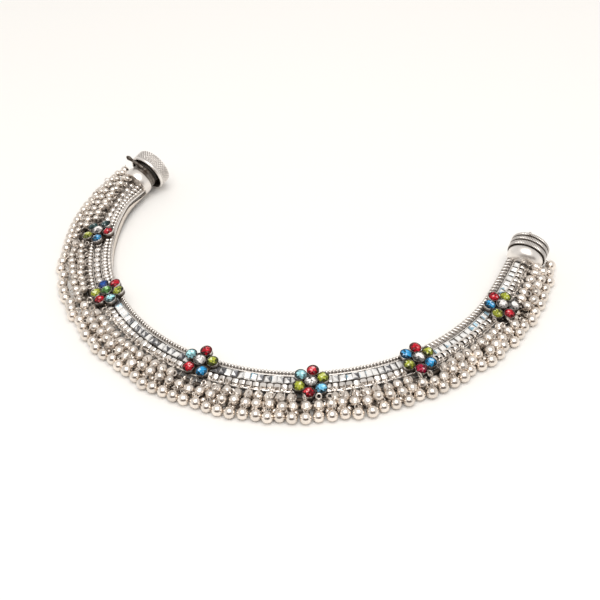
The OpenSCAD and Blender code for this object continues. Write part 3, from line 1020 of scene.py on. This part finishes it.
class ANKLET_OT_cut_bead_row(bpy.types.Operator):
    """Makes the rows of cut and ribbed beads on the band"""
    bl_idname = "anklet.cut_bead_row"
    bl_label = "Cut bead rows"

    def execute(self, context):
        sizes = context.scene.anklet_sizes
        rng = np.random.default_rng(37)
        shapes = edge_wires(sizes, BEAD_SIDE)
        for zone in BEAD_ZONES:
            middle, pitch, length, width, height = (v * MM for v in zone[2:7])
            start, end = clipped(zone, band_ends(sizes, middle))
            angles = row_angles(start, end, pitch, sizes.band_radius + middle)
            count = len(angles)
            bead = cut_bead(length, width, height, zone[7], zone[8])
            origins, axes = band_frames(sizes, angles, middle, BEAD_LIFT - height / 2)
            axes = tilted(axes, rng.normal(0, BEAD_TILT, count), rng.normal(0, BEAD_TURN, count))
            shapes.append(copies(bead, origins, axes, tones=rng.random(count)))
            edges = middle - width / 2, middle + width / 2
            # The beads' bed is painted dark as the shade under them.
            shapes.append(bed(sizes, start, end, edges, BEAD_BED, 0.8))
        build_piece("cut_beads", joined(shapes), silver("polished silver"),
                    ("cut_bead_row", "cut_bead_row_left", "cut_bead_row_right"), smooth_below=28)
        return {"FINISHED"}


def flower_matrix(sizes, flower):
    """A flower head's frame: +Z square to the band and +Y towards the ankle."""
    angle, radius, _, _, rise, lean = flower
    across = (radius * MM - sizes.band_radius) / math.cos(SLOPE)
    r = sizes.band_radius + across * math.cos(SLOPE) + rise * MM * math.sin(SLOPE)
    z = sizes.crest_height - across * math.sin(SLOPE) + rise * MM * math.cos(SLOPE)
    place = on_ring(angle, r, z)
    turn = (Matrix.Rotation(math.radians(angle), 4, "Z")
            @ Matrix.Rotation(math.radians(-lean), 4, "Y") @ Matrix.Rotation(SLOPE, 4, "X"))
    return Matrix.Translation(Vector(place)) @ turn


# How much higher than its petals a flower head's centre stands
CENTRE_RISE = 0.6 * MM


def petal_places(sizes, flower):
    """Where the cups of a flower head stand: its petals, then its centre, with their heights."""
    petals, turn = flower[2], flower[3]
    places = []
    for i in range(petals):
        a = math.radians(turn + i * 360 / petals)
        places.append((sizes.petal_ring * math.cos(a), sizes.petal_ring * math.sin(a), sizes.cup_height))
    places.append((0, 0, sizes.cup_height + CENTRE_RISE))
    return places


# The thickness of a cup's wall, and the depth of its hollow below the rim
CUP_WALL, CUP_DEPTH = 0.13 * MM, 1.1 * MM


def cup(radius, height):
    """A stone's cup with a thin rounded rim, painted dark inside and at its foot as shade."""
    wall = CUP_WALL
    seat = height - CUP_DEPTH
    rows = (
        (radius * 0.95, 0, 1.0), (radius * 0.97, 0.15 * MM, 1.0), (radius * 0.98, height * 0.45, 0.85),
        (radius * 0.98, height - 0.5 * MM, 0.6), (radius, height - 0.3 * MM, 0.25),
        (radius, height - 0.05 * MM, 0.1), (radius - wall * 0.35, height, 0.15),
        (radius - wall * 0.75, height - 0.04 * MM, 0.5), (radius - wall, height - 0.15 * MM, 0.95),
        (radius - wall, seat, 1.0), (0.2 * MM, seat, 1.0))
    return lathe(rows, 36)


class ANKLET_OT_flower_settings(bpy.types.Operator):
    """Makes the cups and plates of the six flower heads"""
    bl_idname = "anklet.flower_settings"
    bl_label = "Flower settings"

    def execute(self, context):
        sizes = context.scene.anklet_sizes
        for number, flower in enumerate(FLOWERS, 1):
            matrix = flower_matrix(sizes, flower)
            parts = [moved(cup(sizes.cup_radius, height), Matrix.Translation((x, y, 0)))
                     for x, y, height in petal_places(sizes, flower)]
            edge = sizes.petal_ring
            # A plate under the cups, painted fully dark as the shade between them.
            parts.append(lathe(
                [(edge, -0.05 * MM, 1), (edge, 0.45 * MM, 1), (edge * 0.98, 0.5 * MM, 1)], 32))
            build_piece(f"flower_{number}_cups", moved(joined(parts), matrix),
                        silver("polished silver"), (f"flower_{number}_setting",))
        return {"FINISHED"}


# How much smaller than its cup a stone is, and how far its girdle lies below the rim
STONE_SET_IN, STONE_SET_DOWN = 0.15 * MM, 0.2 * MM


def cut_stone(radius, rng):
    """A round stone with a cut crown, whose facets carry painted light: lighter towards a random painted
    light direction, dark below the girdle, with random painted glints.
    """

    def ring(share, height, count, first=0.0):
        a = np.radians(first) + turn_angles(count)
        return [(share * radius * math.cos(t), share * radius * math.sin(t), height) for t in a]

    points = (ring(1, 0.0, 16) + ring(1, -0.45 * MM, 16) + ring(0.8, 0.3 * radius, 8, 22.5)
              + ring(0.52, 0.43 * radius, 8) + [(0, 0, 0.45 * radius)])
    # The first points of each ring, in the order above, and the tip
    girdle, low, kite, table, tip = 0, 16, 32, 40, 48
    faces, tones = [], []
    painted_light_angle = rng.random() * 2 * math.pi

    def cut(face, level, spread):
        x, y = np.mean([points[i] for i in face], axis=0)[:2]
        side = math.cos(math.atan2(y, x) - painted_light_angle)
        faces.append(face)
        tones.append(level + 0.16 * side + rng.normal(0, spread))

    # Each facet's level is its painted light: dark below the girdle, lighter on the table and at the tip.
    for k in range(16):
        after = (k + 1) % 16
        cut((low + k, low + after, girdle + after, girdle + k), -0.2, 0.02)
    for k in range(8):
        after, before, at = (k + 1) % 8, (k - 1) % 8, girdle + 2 * k
        cut((table + k, kite + k, table + after), 0.3, 0.2)
        cut((table + k, kite + before, at, kite + k), 0.14, 0.15)
        cut((kite + k, at, at + 1), -0.02, 0.08)
        cut((kite + k, at + 1, (at + 2) % 16), -0.02, 0.08)
        cut((tip, table + k, table + after), 0.4, 0.24)
    return facets(points, faces, tones)


class ANKLET_OT_stones(bpy.types.Operator):
    """Sets the cut glass stones in the flower heads"""
    bl_idname = "anklet.stones"
    bl_label = "Stones"

    def execute(self, context):
        sizes = context.scene.anklet_sizes
        rng = np.random.default_rng(5)
        radius = sizes.cup_radius - STONE_SET_IN
        for number, (flower, (petals, centre)) in enumerate(zip(FLOWERS, STONES), 1):
            matrix = flower_matrix(sizes, flower)
            by_colour = {}
            for (x, y, height), colour in zip(petal_places(sizes, flower), petals + (centre,)):
                turn = Matrix.Rotation(rng.random() * math.pi, 4, "Z")
                place = Matrix.Translation((x, y, height - STONE_SET_DOWN))
                stone = moved(cut_stone(radius, rng), matrix @ place @ turn)
                by_colour.setdefault(colour, []).append(stone)
            nodes = (f"flower_{number}_stones",)
            for colour, stones in by_colour.items():
                build_piece(f"flower_{number}_{colour}_stones", joined(stones), glass(colour),
                            nodes, smooth_below=1)
                nodes = ()
        return {"FINISHED"}


# At the left end the fringe draws in towards the collar and rises, over these angles
GATHER_FROM, GATHER_TO = -93.5, -100.1
GATHER_IN, GATHER_UP = 5.2 * MM, 5.0 * MM
BELLS_IN, BELLS_UP = 1.5 * MM, 2.5 * MM


def gathered(angles):
    """How far the fringe is drawn in at angles in degrees: 1 at GATHER_TO."""
    return np.clip((GATHER_FROM - angles) / (GATHER_FROM - GATHER_TO), 0, None) ** 1.5


def fringe_points(sizes, angle, radius, height, share):
    """Places on the fringe, which take a share of the rise and curl of the band's ends."""
    pulled = gathered(angle)
    radius = radius - pulled * BELLS_IN
    height = height + pulled * BELLS_UP
    level = on_ring(angle, radius, height)
    out = radius - sizes.band_radius
    up = height - sizes.crest_height
    across = out * math.cos(SLOPE) - up * math.sin(SLOPE)
    above = out * math.sin(SLOPE) + up * math.cos(SLOPE)
    follows, _ = band_frames(sizes, angle, across, above)
    return level + share * (follows - level)


def heading(yaw, drop):
    """Directions from angles in radians: out of the ring at a yaw, and falling by a drop."""
    return np.stack(
        [np.sin(yaw) * np.cos(drop), -np.cos(yaw) * np.cos(drop), -np.sin(drop)], axis=1)


def aimed_axes(directions, spins):
    """Axes whose +Z points along each direction, spun about it by an angle in radians."""
    z = unit(directions)
    x = unit(np.cross(np.broadcast_to(UP, z.shape), z) + 1e-9)
    y = np.cross(z, x)
    c, s = np.cos(spins)[:, None], np.sin(spins)[:, None]
    return np.stack([x * c + y * s, y * c - x * s, z], axis=2)


def bell():
    """A pear-shaped bell of unit diameter and length, with its loop's collar at the origin."""
    # The last column darkens the neck at the loop as tarnish and painted shade, and the seam as a dark joint.
    return lathe((
        (0.10, 0.0, 0.5), (0.17, 0.02, 0.3), (0.19, 0.06, 0.1), (0.16, 0.1, 0.6), (0.2, 0.14, 0.5),
        (0.33, 0.22, 0.15), (0.43, 0.33, 0.0), (0.485, 0.46, 0.0), (0.5, 0.58, 0.0),
        (0.512, 0.6, 0.0), (0.512, 0.63, 0.0), (0.495, 0.65, 0.25), (0.46, 0.75, 0.0),
        (0.38, 0.86, 0.0), (0.25, 0.95, 0.0), (0.1, 0.995, 0.0)), 18)


# The rings of bells. Angles are in degrees and lengths in millimetres. Columns: first and last
# angle, radius and height of a bell's middle, pitch, offset in pitches, fall of its axis, share
# of the band ends' rise, diameter, length, spread of its direction and spread of its place.
BELL_RINGS = (
    (-97.2, -73.4, 79.2, 4.2, 3.3, 0.1, 12, 0.75, 3.0, 3.15, 8, 0.1),
    (-97.0, -84.0, 77.9, 4.9, 2.9, 0.3, 12, 1.0, 2.4, 2.6, 8, 0.1),
    (-98.8, -73.4, 82.2, 3.5, 3.3, 0.1, 25, 0.75, 2.8, 2.95, 8, 0.1),
    (-99.5, -73.4, 84.8, 2.6, 3.3, 0.3, 35, 0.5, 2.5, 2.65, 8, 0.1),
    (-96.0, -73.4, 81.0, 1.6, 3.0, 0.5, 10, 0.5, 2.3, 2.6, 10, 0.2),
    (-73.4, -46.2, 80.9, 3.6, 3.1, 0.0, 25, 1.0, 2.7, 3.0, 16, 0.2),
    (-73.4, -46.2, 83.6, 3.3, 3.2, 0.5, 35, 1.0, 2.8, 3.1, 20, 0.3),
    (-73.4, -46.2, 82.0, 1.4, 3.0, 0.2, 10, 0.4, 2.4, 2.8, 14, 0.3),
    (-46.2, 98.0, 80.4, 3.6, 3.4, 0.0, 24, 0.9, 3.2, 4.4, 10, 0.2),
    (-46.2, 98.0, 83.6, 3.8, 3.8, 0.5, 48, 0.6, 3.5, 3.8, 22, 0.35),
    (-46.2, 98.0, 81.4, 1.5, 3.1, 0.2, 10, 0.2, 2.6, 3.0, 14, 0.3),
    (-46.2, 98.0, 84.2, 1.4, 3.3, 0.6, 10, 0.2, 2.4, 2.8, 14, 0.3),
)
# Bells on rings smaller than this hang from the band by a stem, in millimetres
NEAR_BAND = 82.0
# The loops of a bell and of a ball: radius of the ring and of its wire, in diameters
BELL_LOOP, BALL_LOOP = (0.24, 0.07), (0.17, 0.045)
# Bells that would touch the table are lifted to hang this far above it
TABLE_CLEAR = 0.05 * MM
# How far a bell's loop stands out from it in diameters, and where its stem ends
LOOP_OUT, STEM_END = 0.2, 0.4 * MM
STEM_RADIUS, STEM_BOW = 0.24 * MM, 0.25 * MM
# Where the stems start: a place across the band and a height above its slope
STEM_FROM = 7.6 * MM, -1.1 * MM
# Bells that hang higher than this keep their loops this far from the middle of a flower head
UNDER_FLOWERS, FLOWER_CLEAR = 2.5, 6.6 * MM
# The wires under the bells that carry them, painted nearly all dark as the shade between the bells. Lengths
# are in millimetres.
# Columns: radius of the ring, height, radius of the wire.
SHADE_CARRIERS = ((79.2, 1.5, 0.9), (81.3, 1.2, 0.9), (83.4, 1.0, 0.9))
# The fringe's own ends, in degrees, between which the open loops and the carriers lie
FRINGE_ENDS = BELL_RINGS[0][0], BELL_RINGS[-1][1]
# The open wire loops that join the outer balls to the fringe: their pitch and their ring, their
# height, the spread of both, and the radius of a loop and of its wire
LOOP_PITCH, LOOP_RING, LOOP_HEIGHT, LOOP_SPREAD = 4.0 * MM, 85.4 * MM, 3.7 * MM, 0.3 * MM
OPEN_LOOP = 0.85 * MM, 0.15 * MM


def near_flower(places):
    """True where a flower head's cups take up a bell's place."""
    gaps = [np.linalg.norm((places - on_ring(f[0], f[1] * MM, 0))[:, :2], axis=1) for f in FLOWERS]
    return np.min(gaps, axis=0) < FLOWER_CLEAR


def stems(sizes, angles, ends):
    """The bowed wires from under the band's outer edge to the loops of some bells."""
    starts, _ = band_frames(sizes, angles, *STEM_FROM)
    return [wire([edge, (end + edge) / 2 + UP * STEM_BOW, end], STEM_RADIUS, 6, dark=0.15)
            for edge, end in zip(starts, ends)]


def bells_of_ring(sizes, ring, start, end, rng):
    """One ring's bells between two angles, with their loops and stems."""
    first, last, radius, height, pitch, offset, fall, share, diameter, length, untidy, loose = ring
    step = math.degrees(pitch / radius)
    angles = np.arange(first + offset * step, last, step)
    angles = angles[(angles > start) & (angles <= end)]
    if height > UNDER_FLOWERS:
        inner_end = radius - 0.5 * length * math.cos(math.radians(fall)) - LOOP_OUT * diameter
        angles = angles[~near_flower(on_ring(angles, inner_end * MM, 0))]
    count = len(angles)
    if not count:
        return []
    angles = angles + rng.normal(0, math.degrees(0.5 * loose / radius), count)
    radii = (radius + rng.normal(0, loose, count)) * MM
    heights = (height + rng.normal(0, 0.5 * loose, count)) * MM
    middle = fringe_points(sizes, angles, radii, heights, share)
    yaw = np.radians(angles + rng.normal(0, untidy, count))
    direction = heading(yaw, np.radians(fall + rng.normal(0, 0.8 * untidy, count)))
    size = diameter * MM * (1 + rng.normal(0, 0.03, count))
    half = direction * (length / 2 * MM)
    lowest = middle[:, 2] - np.abs(half[:, 2]) * 0.6 - size / 2
    middle[:, 2] += np.clip(TABLE_CLEAR - lowest, 0, None)
    near = middle - half
    axes = aimed_axes(direction, rng.random(count) * 2 * math.pi)
    scale = np.stack([size, size, np.full(count, length * MM)], axis=1)
    loops = near - direction * (LOOP_OUT * size)[:, None]
    shapes = [copies(bell(), near, axes, scale, rng.random(count)),
              copies(ring_of_wire(*BELL_LOOP), loops, axes, size[:, None])]
    if radius < NEAR_BAND:
        shapes += stems(sizes, angles, near - direction * STEM_END)
    return shapes


def bells_of_stretch(sizes, start, end, rng):
    """The bells, their loops, their stems and their carriers between two flower heads, the carriers painted
    dark as the shade between the bells.
    """
    shapes = []
    for ring in BELL_RINGS:
        shapes += bells_of_ring(sizes, ring, start, end, rng)
    low, high = clipped((start, end), FRINGE_ENDS)
    shapes.append(open_loops(sizes, low, high, rng))
    angles = np.linspace(low + 0.5, high - 0.5, int(high - low) + 1)
    # The carriers are painted almost wholly dark as the shade between the bells.
    for radius, height, thickness in SHADE_CARRIERS:
        path = fringe_points(sizes, angles, radius * MM, height * MM, 0.3)
        shapes.append(wire(path, thickness * MM, 8, dark=0.85))
    return shapes


def open_loops(sizes, low, high, rng):
    """The open wire loops above the outer balls, each turned its own way."""
    angles = row_angles(low, high, LOOP_PITCH, LOOP_RING)
    count = len(angles)
    angles = angles + rng.normal(0, 0.3, count)
    radii = LOOP_RING + rng.normal(0, LOOP_SPREAD, count)
    heights = LOOP_HEIGHT + rng.normal(0, LOOP_SPREAD, count)
    places = fringe_points(sizes, angles, radii, heights, 0.4)
    yaw = np.radians(angles + rng.normal(0, 45, count))
    direction = heading(yaw, rng.normal(0.2, 0.5, count))
    axes = aimed_axes(direction, rng.random(count) * 2 * math.pi)
    loop = ring_of_wire(*OPEN_LOOP, 16, 8)
    return copies(loop, places, axes, 1.0, rng.random(count))


class ANKLET_OT_bell_fringe(bpy.types.Operator):
    """Hangs the small bells between the band and the outer balls"""
    bl_idname = "anklet.bell_fringe"
    bl_label = "Bell fringe"

    def execute(self, context):
        sizes = context.scene.anklet_sizes
        rng = np.random.default_rng(71)
        for number, (start, end) in enumerate(zip(STRETCHES, STRETCHES[1:]), 1):
            shape = joined(bells_of_stretch(sizes, start, end, rng))
            build_piece(f"bells_{number}", shape, silver("cast silver"),
                        (f"bell_fringe_{number}",), smooth_below=50)
        return {"FINISHED"}


def ball():
    """A ball of unit diameter, with its loop's collar on top."""
    a = np.linspace(-0.5 * math.pi + 0.12, 0.5 * math.pi - 0.3, 18)
    rows = [(0.5 * math.cos(t), 0.5 * math.sin(t), 0) for t in a]
    # The collar is darkened towards the tarnish colour.
    return lathe(rows + [(0.16, 0.49, 0.35), (0.15, 0.53, 0.3), (0.1, 0.545, 0.4)], 28)


# The outer balls. Columns: first and last angle, pitch, diameter, radius of their ring and its
# spread, in degrees and millimetres.
BALL_ZONES = (
    (-101.6, -73.4, 3.25, 3.4, 87.6, 0.08),
    (-73.4, -66, 3.7, 3.6, 87.3, 0.15),
    (-66, -50, 3.8, 3.75, 87.8, 0.3),
    (-50, 21.4, 4.05, 3.9, 87.1, 0.45),
    (21.4, 48.7, 4.0, 3.85, 86.5, 0.4),
    (48.7, 78.3, 4.0, 3.85, 86.3, 0.4),
    (78.3, 101.5, 4.3, 3.85, 86.6, 0.4),
)
# How steeply a ball's loop rises inwards and the spread of that, and the spread of its side,
# in degrees
BALL_RISE, BALL_RISE_SPREAD, BALL_YAW = 48, 14, 20
# From a ball's middle to its loop's, in diameters
BALL_TO_LOOP = 0.66


def balls_between(sizes, start, end, rng):
    """The balls and their loops from one angle to another."""
    shapes = []
    one_ball = ball()
    loop = ring_of_wire(*BALL_LOOP, 16)
    scale = sizes.ball_diameter / BALL_DIAMETER
    for first, last, pitch, diameter, ring, spread in BALL_ZONES:
        low, high = clipped((start, end), (first, last))
        if high - low < 1:
            continue
        angles = row_angles(low, high, pitch * MM, ring * MM)
        count = len(angles)
        angles = angles + rng.normal(0, 0.12, count)
        size = scale * diameter * MM * np.clip(1 + rng.normal(0, 0.02, count), 0.95, 1.02)
        pulled = gathered(angles)
        radii = (ring + rng.normal(0, spread, count)) * MM - pulled * GATHER_IN
        middle = on_ring(angles, radii, size / 2 + pulled * GATHER_UP)
        rise = np.radians(rng.normal(BALL_RISE, BALL_RISE_SPREAD, count))
        inwards = -heading(np.radians(angles + rng.normal(0, BALL_YAW, count)), rise)
        axes = aimed_axes(inwards, rng.random(count) * 2 * math.pi)
        shapes.append(copies(one_ball, middle, axes, size[:, None], rng.random(count)))
        top = middle + inwards * (BALL_TO_LOOP * size)[:, None]
        shapes.append(copies(loop, top, axes, size[:, None]))
    return shapes


class ANKLET_OT_ball_fringe(bpy.types.Operator):
    """Sets the outermost balls on the table, each on its loop"""
    bl_idname = "anklet.ball_fringe"
    bl_label = "Ball fringe"

    def execute(self, context):
        sizes = context.scene.anklet_sizes
        rng = np.random.default_rng(97)
        for number, (start, end) in enumerate(zip(STRETCHES, STRETCHES[1:]), 1):
            shapes = balls_between(sizes, start, end, rng)
            build_piece(f"balls_{number}", joined(shapes), silver("ball silver"),
                        (f"ball_fringe_{number}",), smooth_below=50)
        return {"FINISHED"}


def rounded_disc(rows_in_mm):
    """A turned shape from rows of radius and height in millimetres and of darkening, which is tarnish and
    painted shade.
    """
    return lathe([(radius * MM, height * MM, dark) for radius, height, dark in rows_in_mm], 96)


# The catch pin across the neck, in millimetres about the cap's axis: its ends, and its radii
# from the one to the other
PIN_FOOT, PIN_TIP = (-5.1, -1.6, -1.4), (-7.6, 6.3, -1.4)
PIN_RADII = (0.55, 0.7, 0.7, 0.7, 0.68, 0.66, 0.6, 0.55, 0.62, 0.82, 0.8, 0.3)


class ANKLET_OT_left_clasp(bpy.types.Operator):
    """Makes the left collar, the neck behind the cap and the catch pin across it"""
    bl_idname = "anklet.left_clasp"
    bl_label = "Left collar and neck"

    def execute(self, context):
        # The collar darkens a little at its edges, most where it meets the neck, as painted shade.
        collar = rounded_disc((
            (4.9, -6.7, 0.1), (5.4, -6.65, 0.0), (5.56, -6.3, 0), (5.66, -5.0, 0), (5.6, -3.7, 0),
            (5.45, -3.4, 0.05), (5.0, -3.3, 0.4)))
        build_piece("left_collar_ring", moved(collar, LEFT_CLASP), silver("soft silver"),
                    ("left_collar",))
        # The neck darkens towards the tarnish colour, most in its groove and at its ends under the collar and
        # the cap, where the darkening is painted shade; the pin is darkened evenly.
        neck = rounded_disc((
            (4.9, -3.15, 0.8), (5.0, -3.0, 0.4), (5.0, -1.8, 0.35), (4.94, -1.7, 0.8),
            (5.0, -1.6, 0.35), (4.9, -0.5, 0.5), (4.6, -0.3, 0.9), (2.6, -0.3, 1), (2.6, 3.0, 0.5)))
        pin = wire(np.linspace(PIN_FOOT, PIN_TIP, len(PIN_RADII)) * MM,
                   np.array(PIN_RADII) * MM, 14, dark=0.55)
        build_piece("neck_and_pin", moved(joined([neck, pin]), LEFT_CLASP), silver("dull dark silver"),
                    ("clasp_neck",), smooth_below=50)
        return {"FINISHED"}


def sleeve(radii, heights, dark):
    """An open band about +Z, from the radius and the darkening, tarnish and painted shade, at each place of a
    grid.
    """
    rings, columns = radii.shape
    a = turn_angles(columns)
    height = np.broadcast_to(heights[:, None], radii.shape)
    points = np.stack([radii * np.cos(a), radii * np.sin(a), height], axis=2)
    return Shape(points.reshape(-1, 3), grid_faces(rings, columns), (), dark.ravel())


def knurl(radius, low, high, around, rows, depth, edge):
    """A knurled band of small diamonds, whose upper edge is rounded."""
    per_cut = 6
    u = np.arange(around * per_cut) / per_cut
    v = np.linspace(0, rows, rows * per_cut + 1)[:, None]
    first, second = (np.abs((u + way * v) % 1 - 0.5) * 2 for way in (1, -1))
    peak = np.minimum(first, second)
    height = low + (high - low) * v / rows
    t = np.clip((height - (high - edge)) / edge, 0, 1)
    shoulder = radius - edge + np.sqrt(1 - t * t) * edge
    fade = np.clip(v / 0.6, 0, 1) * np.clip((rows - v) / 0.6, 0, 1)
    # Painted shade in the knurl's valleys.
    dark = np.clip((0.45 - peak) * 1.6, 0, 0.65) * fade
    return sleeve(shoulder - depth * (1 - peak) * fade, height[:, 0], dark)


class ANKLET_OT_knurled_cap(bpy.types.Operator):
    """Makes the knurled cap that turns on the left end's post"""
    bl_idname = "anklet.knurled_cap"
    bl_label = "Knurled cap"

    def execute(self, context):
        # Painted shade: the cap's near face and hollow are dark, with only the outer rim left light.
        hollow = rounded_disc((
            (2.65, 3.4, 1), (2.65, 0.05, 0.9), (4.4, 0.0, 0.7), (4.4, 2.4, 1), (6.7, 2.4, 1),
            (6.75, 0.2, 0.9), (6.85, 0.05, 0.3), (7.0, 0.0, 0.0), (7.3, 0.02, 0.0), (7.45, 0.2, 0.0),
            (7.5, 0.5, 0.0), (7.5, 0.95, 0.0), (7.45, 1.1, 0.5), (7.1, 1.15, 1), (7.1, 4.0, 1),
            (6.2, 5.15, 1)))
        band = knurl(7.5 * MM, 1.1 * MM, 5.35 * MM, 40, 4, 0.34 * MM, 1.2 * MM)
        # The top darkens at its rim and in the corner at the post, as painted shade.
        top = rounded_disc((
            (6.6, 5.2, 0.5), (6.35, 5.45, 0.0), (6.0, 5.6, 0.0), (4.0, 5.55, 0.1), (2.7, 5.55, 0.5),
            (2.4, 5.6, 0.8), (2.4, 6.75, 0.1), (2.2, 6.95, 0.0), (1.2, 7.0, 0.1)))
        shape = moved(joined([hollow, band, top]), LEFT_CLASP)
        build_piece("turning_cap", shape, silver("soft silver"), ("knurled_cap",),
                    body="cap", smooth_below=50)
        return {"FINISHED"}


# A milled band's crown. Columns: share of its height, drop in millimetres, painted shade at its rounded
# edges.
CROWN = ((0, 0.22, 0.8), (0.12, 0.08, 0.2), (0.3, 0, 0), (0.7, 0, 0), (0.88, 0.08, 0.2), (1, 0.22, 0.8))


def ridges(radius, low, high, around, depth):
    """A finely milled band, with ridges that run along its axis."""
    per_ridge = 4
    wave = 0.5 - 0.5 * np.cos(turn_angles(around * per_ridge) * around)
    share, drop, dark = np.array(CROWN).T[:, :, None]
    # Painted shade in the valleys between the ridges.
    dark = np.clip(0.65 * wave ** 2 + dark, 0, 1)
    return sleeve(radius - drop * MM - depth * wave, low + (high - low) * share[:, 0], dark)


# The drum's peg in millimetres about the drum's axis. Columns: x, y, z, radius.
PEG = ((-5.9, 0, 4.5, 0.5), (-7.2, 0, 4.6, 0.5), (-7.7, 0, 4.68, 0.45), (-7.82, 0, 4.7, 0.2))


class ANKLET_OT_right_clasp(bpy.types.Operator):
    """Makes the swelling right collar and the ridged drum with its socket"""
    bl_idname = "anklet.right_clasp"
    bl_label = "Right collar and drum"

    def execute(self, context):
        # The collar's face towards the drum is painted dark as the shade in the gap.
        collar = rounded_disc((
            (2.9, -4.38, 0.3), (3.3, -4.4, 0.0), (3.92, -4.34, 0.0), (4.5, -4.15, 0.0),
            (5.1, -3.8, 0.0), (5.6, -3.33, 0.0), (5.98, -2.75, 0.0), (6.2, -2.15, 0.0),
            (6.3, -1.4, 0.0), (6.3, -0.25, 0.0), (6.2, -0.05, 0.5), (3.4, 0.0, 1), (3.4, 1.4, 1)))
        build_piece("right_collar_swell", moved(collar, RIGHT_CLASP), silver("soft silver"),
                    ("right_collar",))
        # The core shows between the ridged bands and in the bore, painted dark as shade.
        core = rounded_disc((
            (3.55, 1.5, 1), (3.55, 0.2, 1), (6.5, 0.15, 1), (6.55, 5.1, 1), (6.4, 5.35, 0.1), (6.0, 5.4, 0.0),
            (3.0, 5.4, 0.1), (2.6, 5.35, 0.4), (2.5, 5.2, 0.8), (2.5, 2.0, 1), (0.2, 2.0, 1)))
        bands = [ridges(6.9 * MM, low * MM, high * MM, 72, 0.16 * MM)
                 for low, high in ((0.2, 2.05), (2.4, 3.85), (4.2, 5.25))]
        peg = wire(np.array(PEG)[:, :3] * MM, np.array(PEG)[:, 3] * MM, 12, dark=0.4)
        shape = moved(joined([core, peg] + bands), RIGHT_CLASP)
        build_piece("milled_drum", shape, silver("polished silver"), ("ridged_drum",),
                    smooth_below=50)
        return {"FINISHED"}


OPERATORS = (
    ANKLET_OT_stage, ANKLET_OT_inner_wall, ANKLET_OT_milled_rail, ANKLET_OT_flat_link_row,
    ANKLET_OT_cut_bead_row, ANKLET_OT_flower_settings, ANKLET_OT_stones, ANKLET_OT_bell_fringe,
    ANKLET_OT_ball_fringe, ANKLET_OT_left_clasp, ANKLET_OT_knurled_cap, ANKLET_OT_right_clasp,
)


class ANKLET_PT_panel(bpy.types.Panel):
    bl_idname = "ANKLET_PT_panel"
    bl_label = "Anklet"
    bl_space_type = "VIEW_3D"
    bl_region_type = "UI"
    bl_category = "Anklet"

    def draw(self, context):
        layout = self.layout
        for group in (context.scene.anklet_sizes, context.scene.anklet_colours):
            for key in group.bl_rna.properties.keys():
                if key not in ("rna_type", "name"):
                    layout.prop(group, key)
        for operator in OPERATORS:
            layout.operator(operator.bl_idname)


CLASSES = (AnkletSizes, AnkletColours, *OPERATORS, ANKLET_PT_panel)


def register():
    for cls in CLASSES:
        bpy.utils.register_class(cls)
    bpy.types.Scene.anklet_sizes = PointerProperty(type=AnkletSizes)
    bpy.types.Scene.anklet_colours = PointerProperty(type=AnkletColours)


def unregister():
    del bpy.types.Scene.anklet_colours
    del bpy.types.Scene.anklet_sizes
    for cls in reversed(CLASSES):
        bpy.utils.unregister_class(cls)


def main():
    register()
    for operator in OPERATORS:
        group, name = operator.bl_idname.split(".")
        getattr(getattr(bpy.ops, group), name)()


if __name__ == "__main__":
    main()
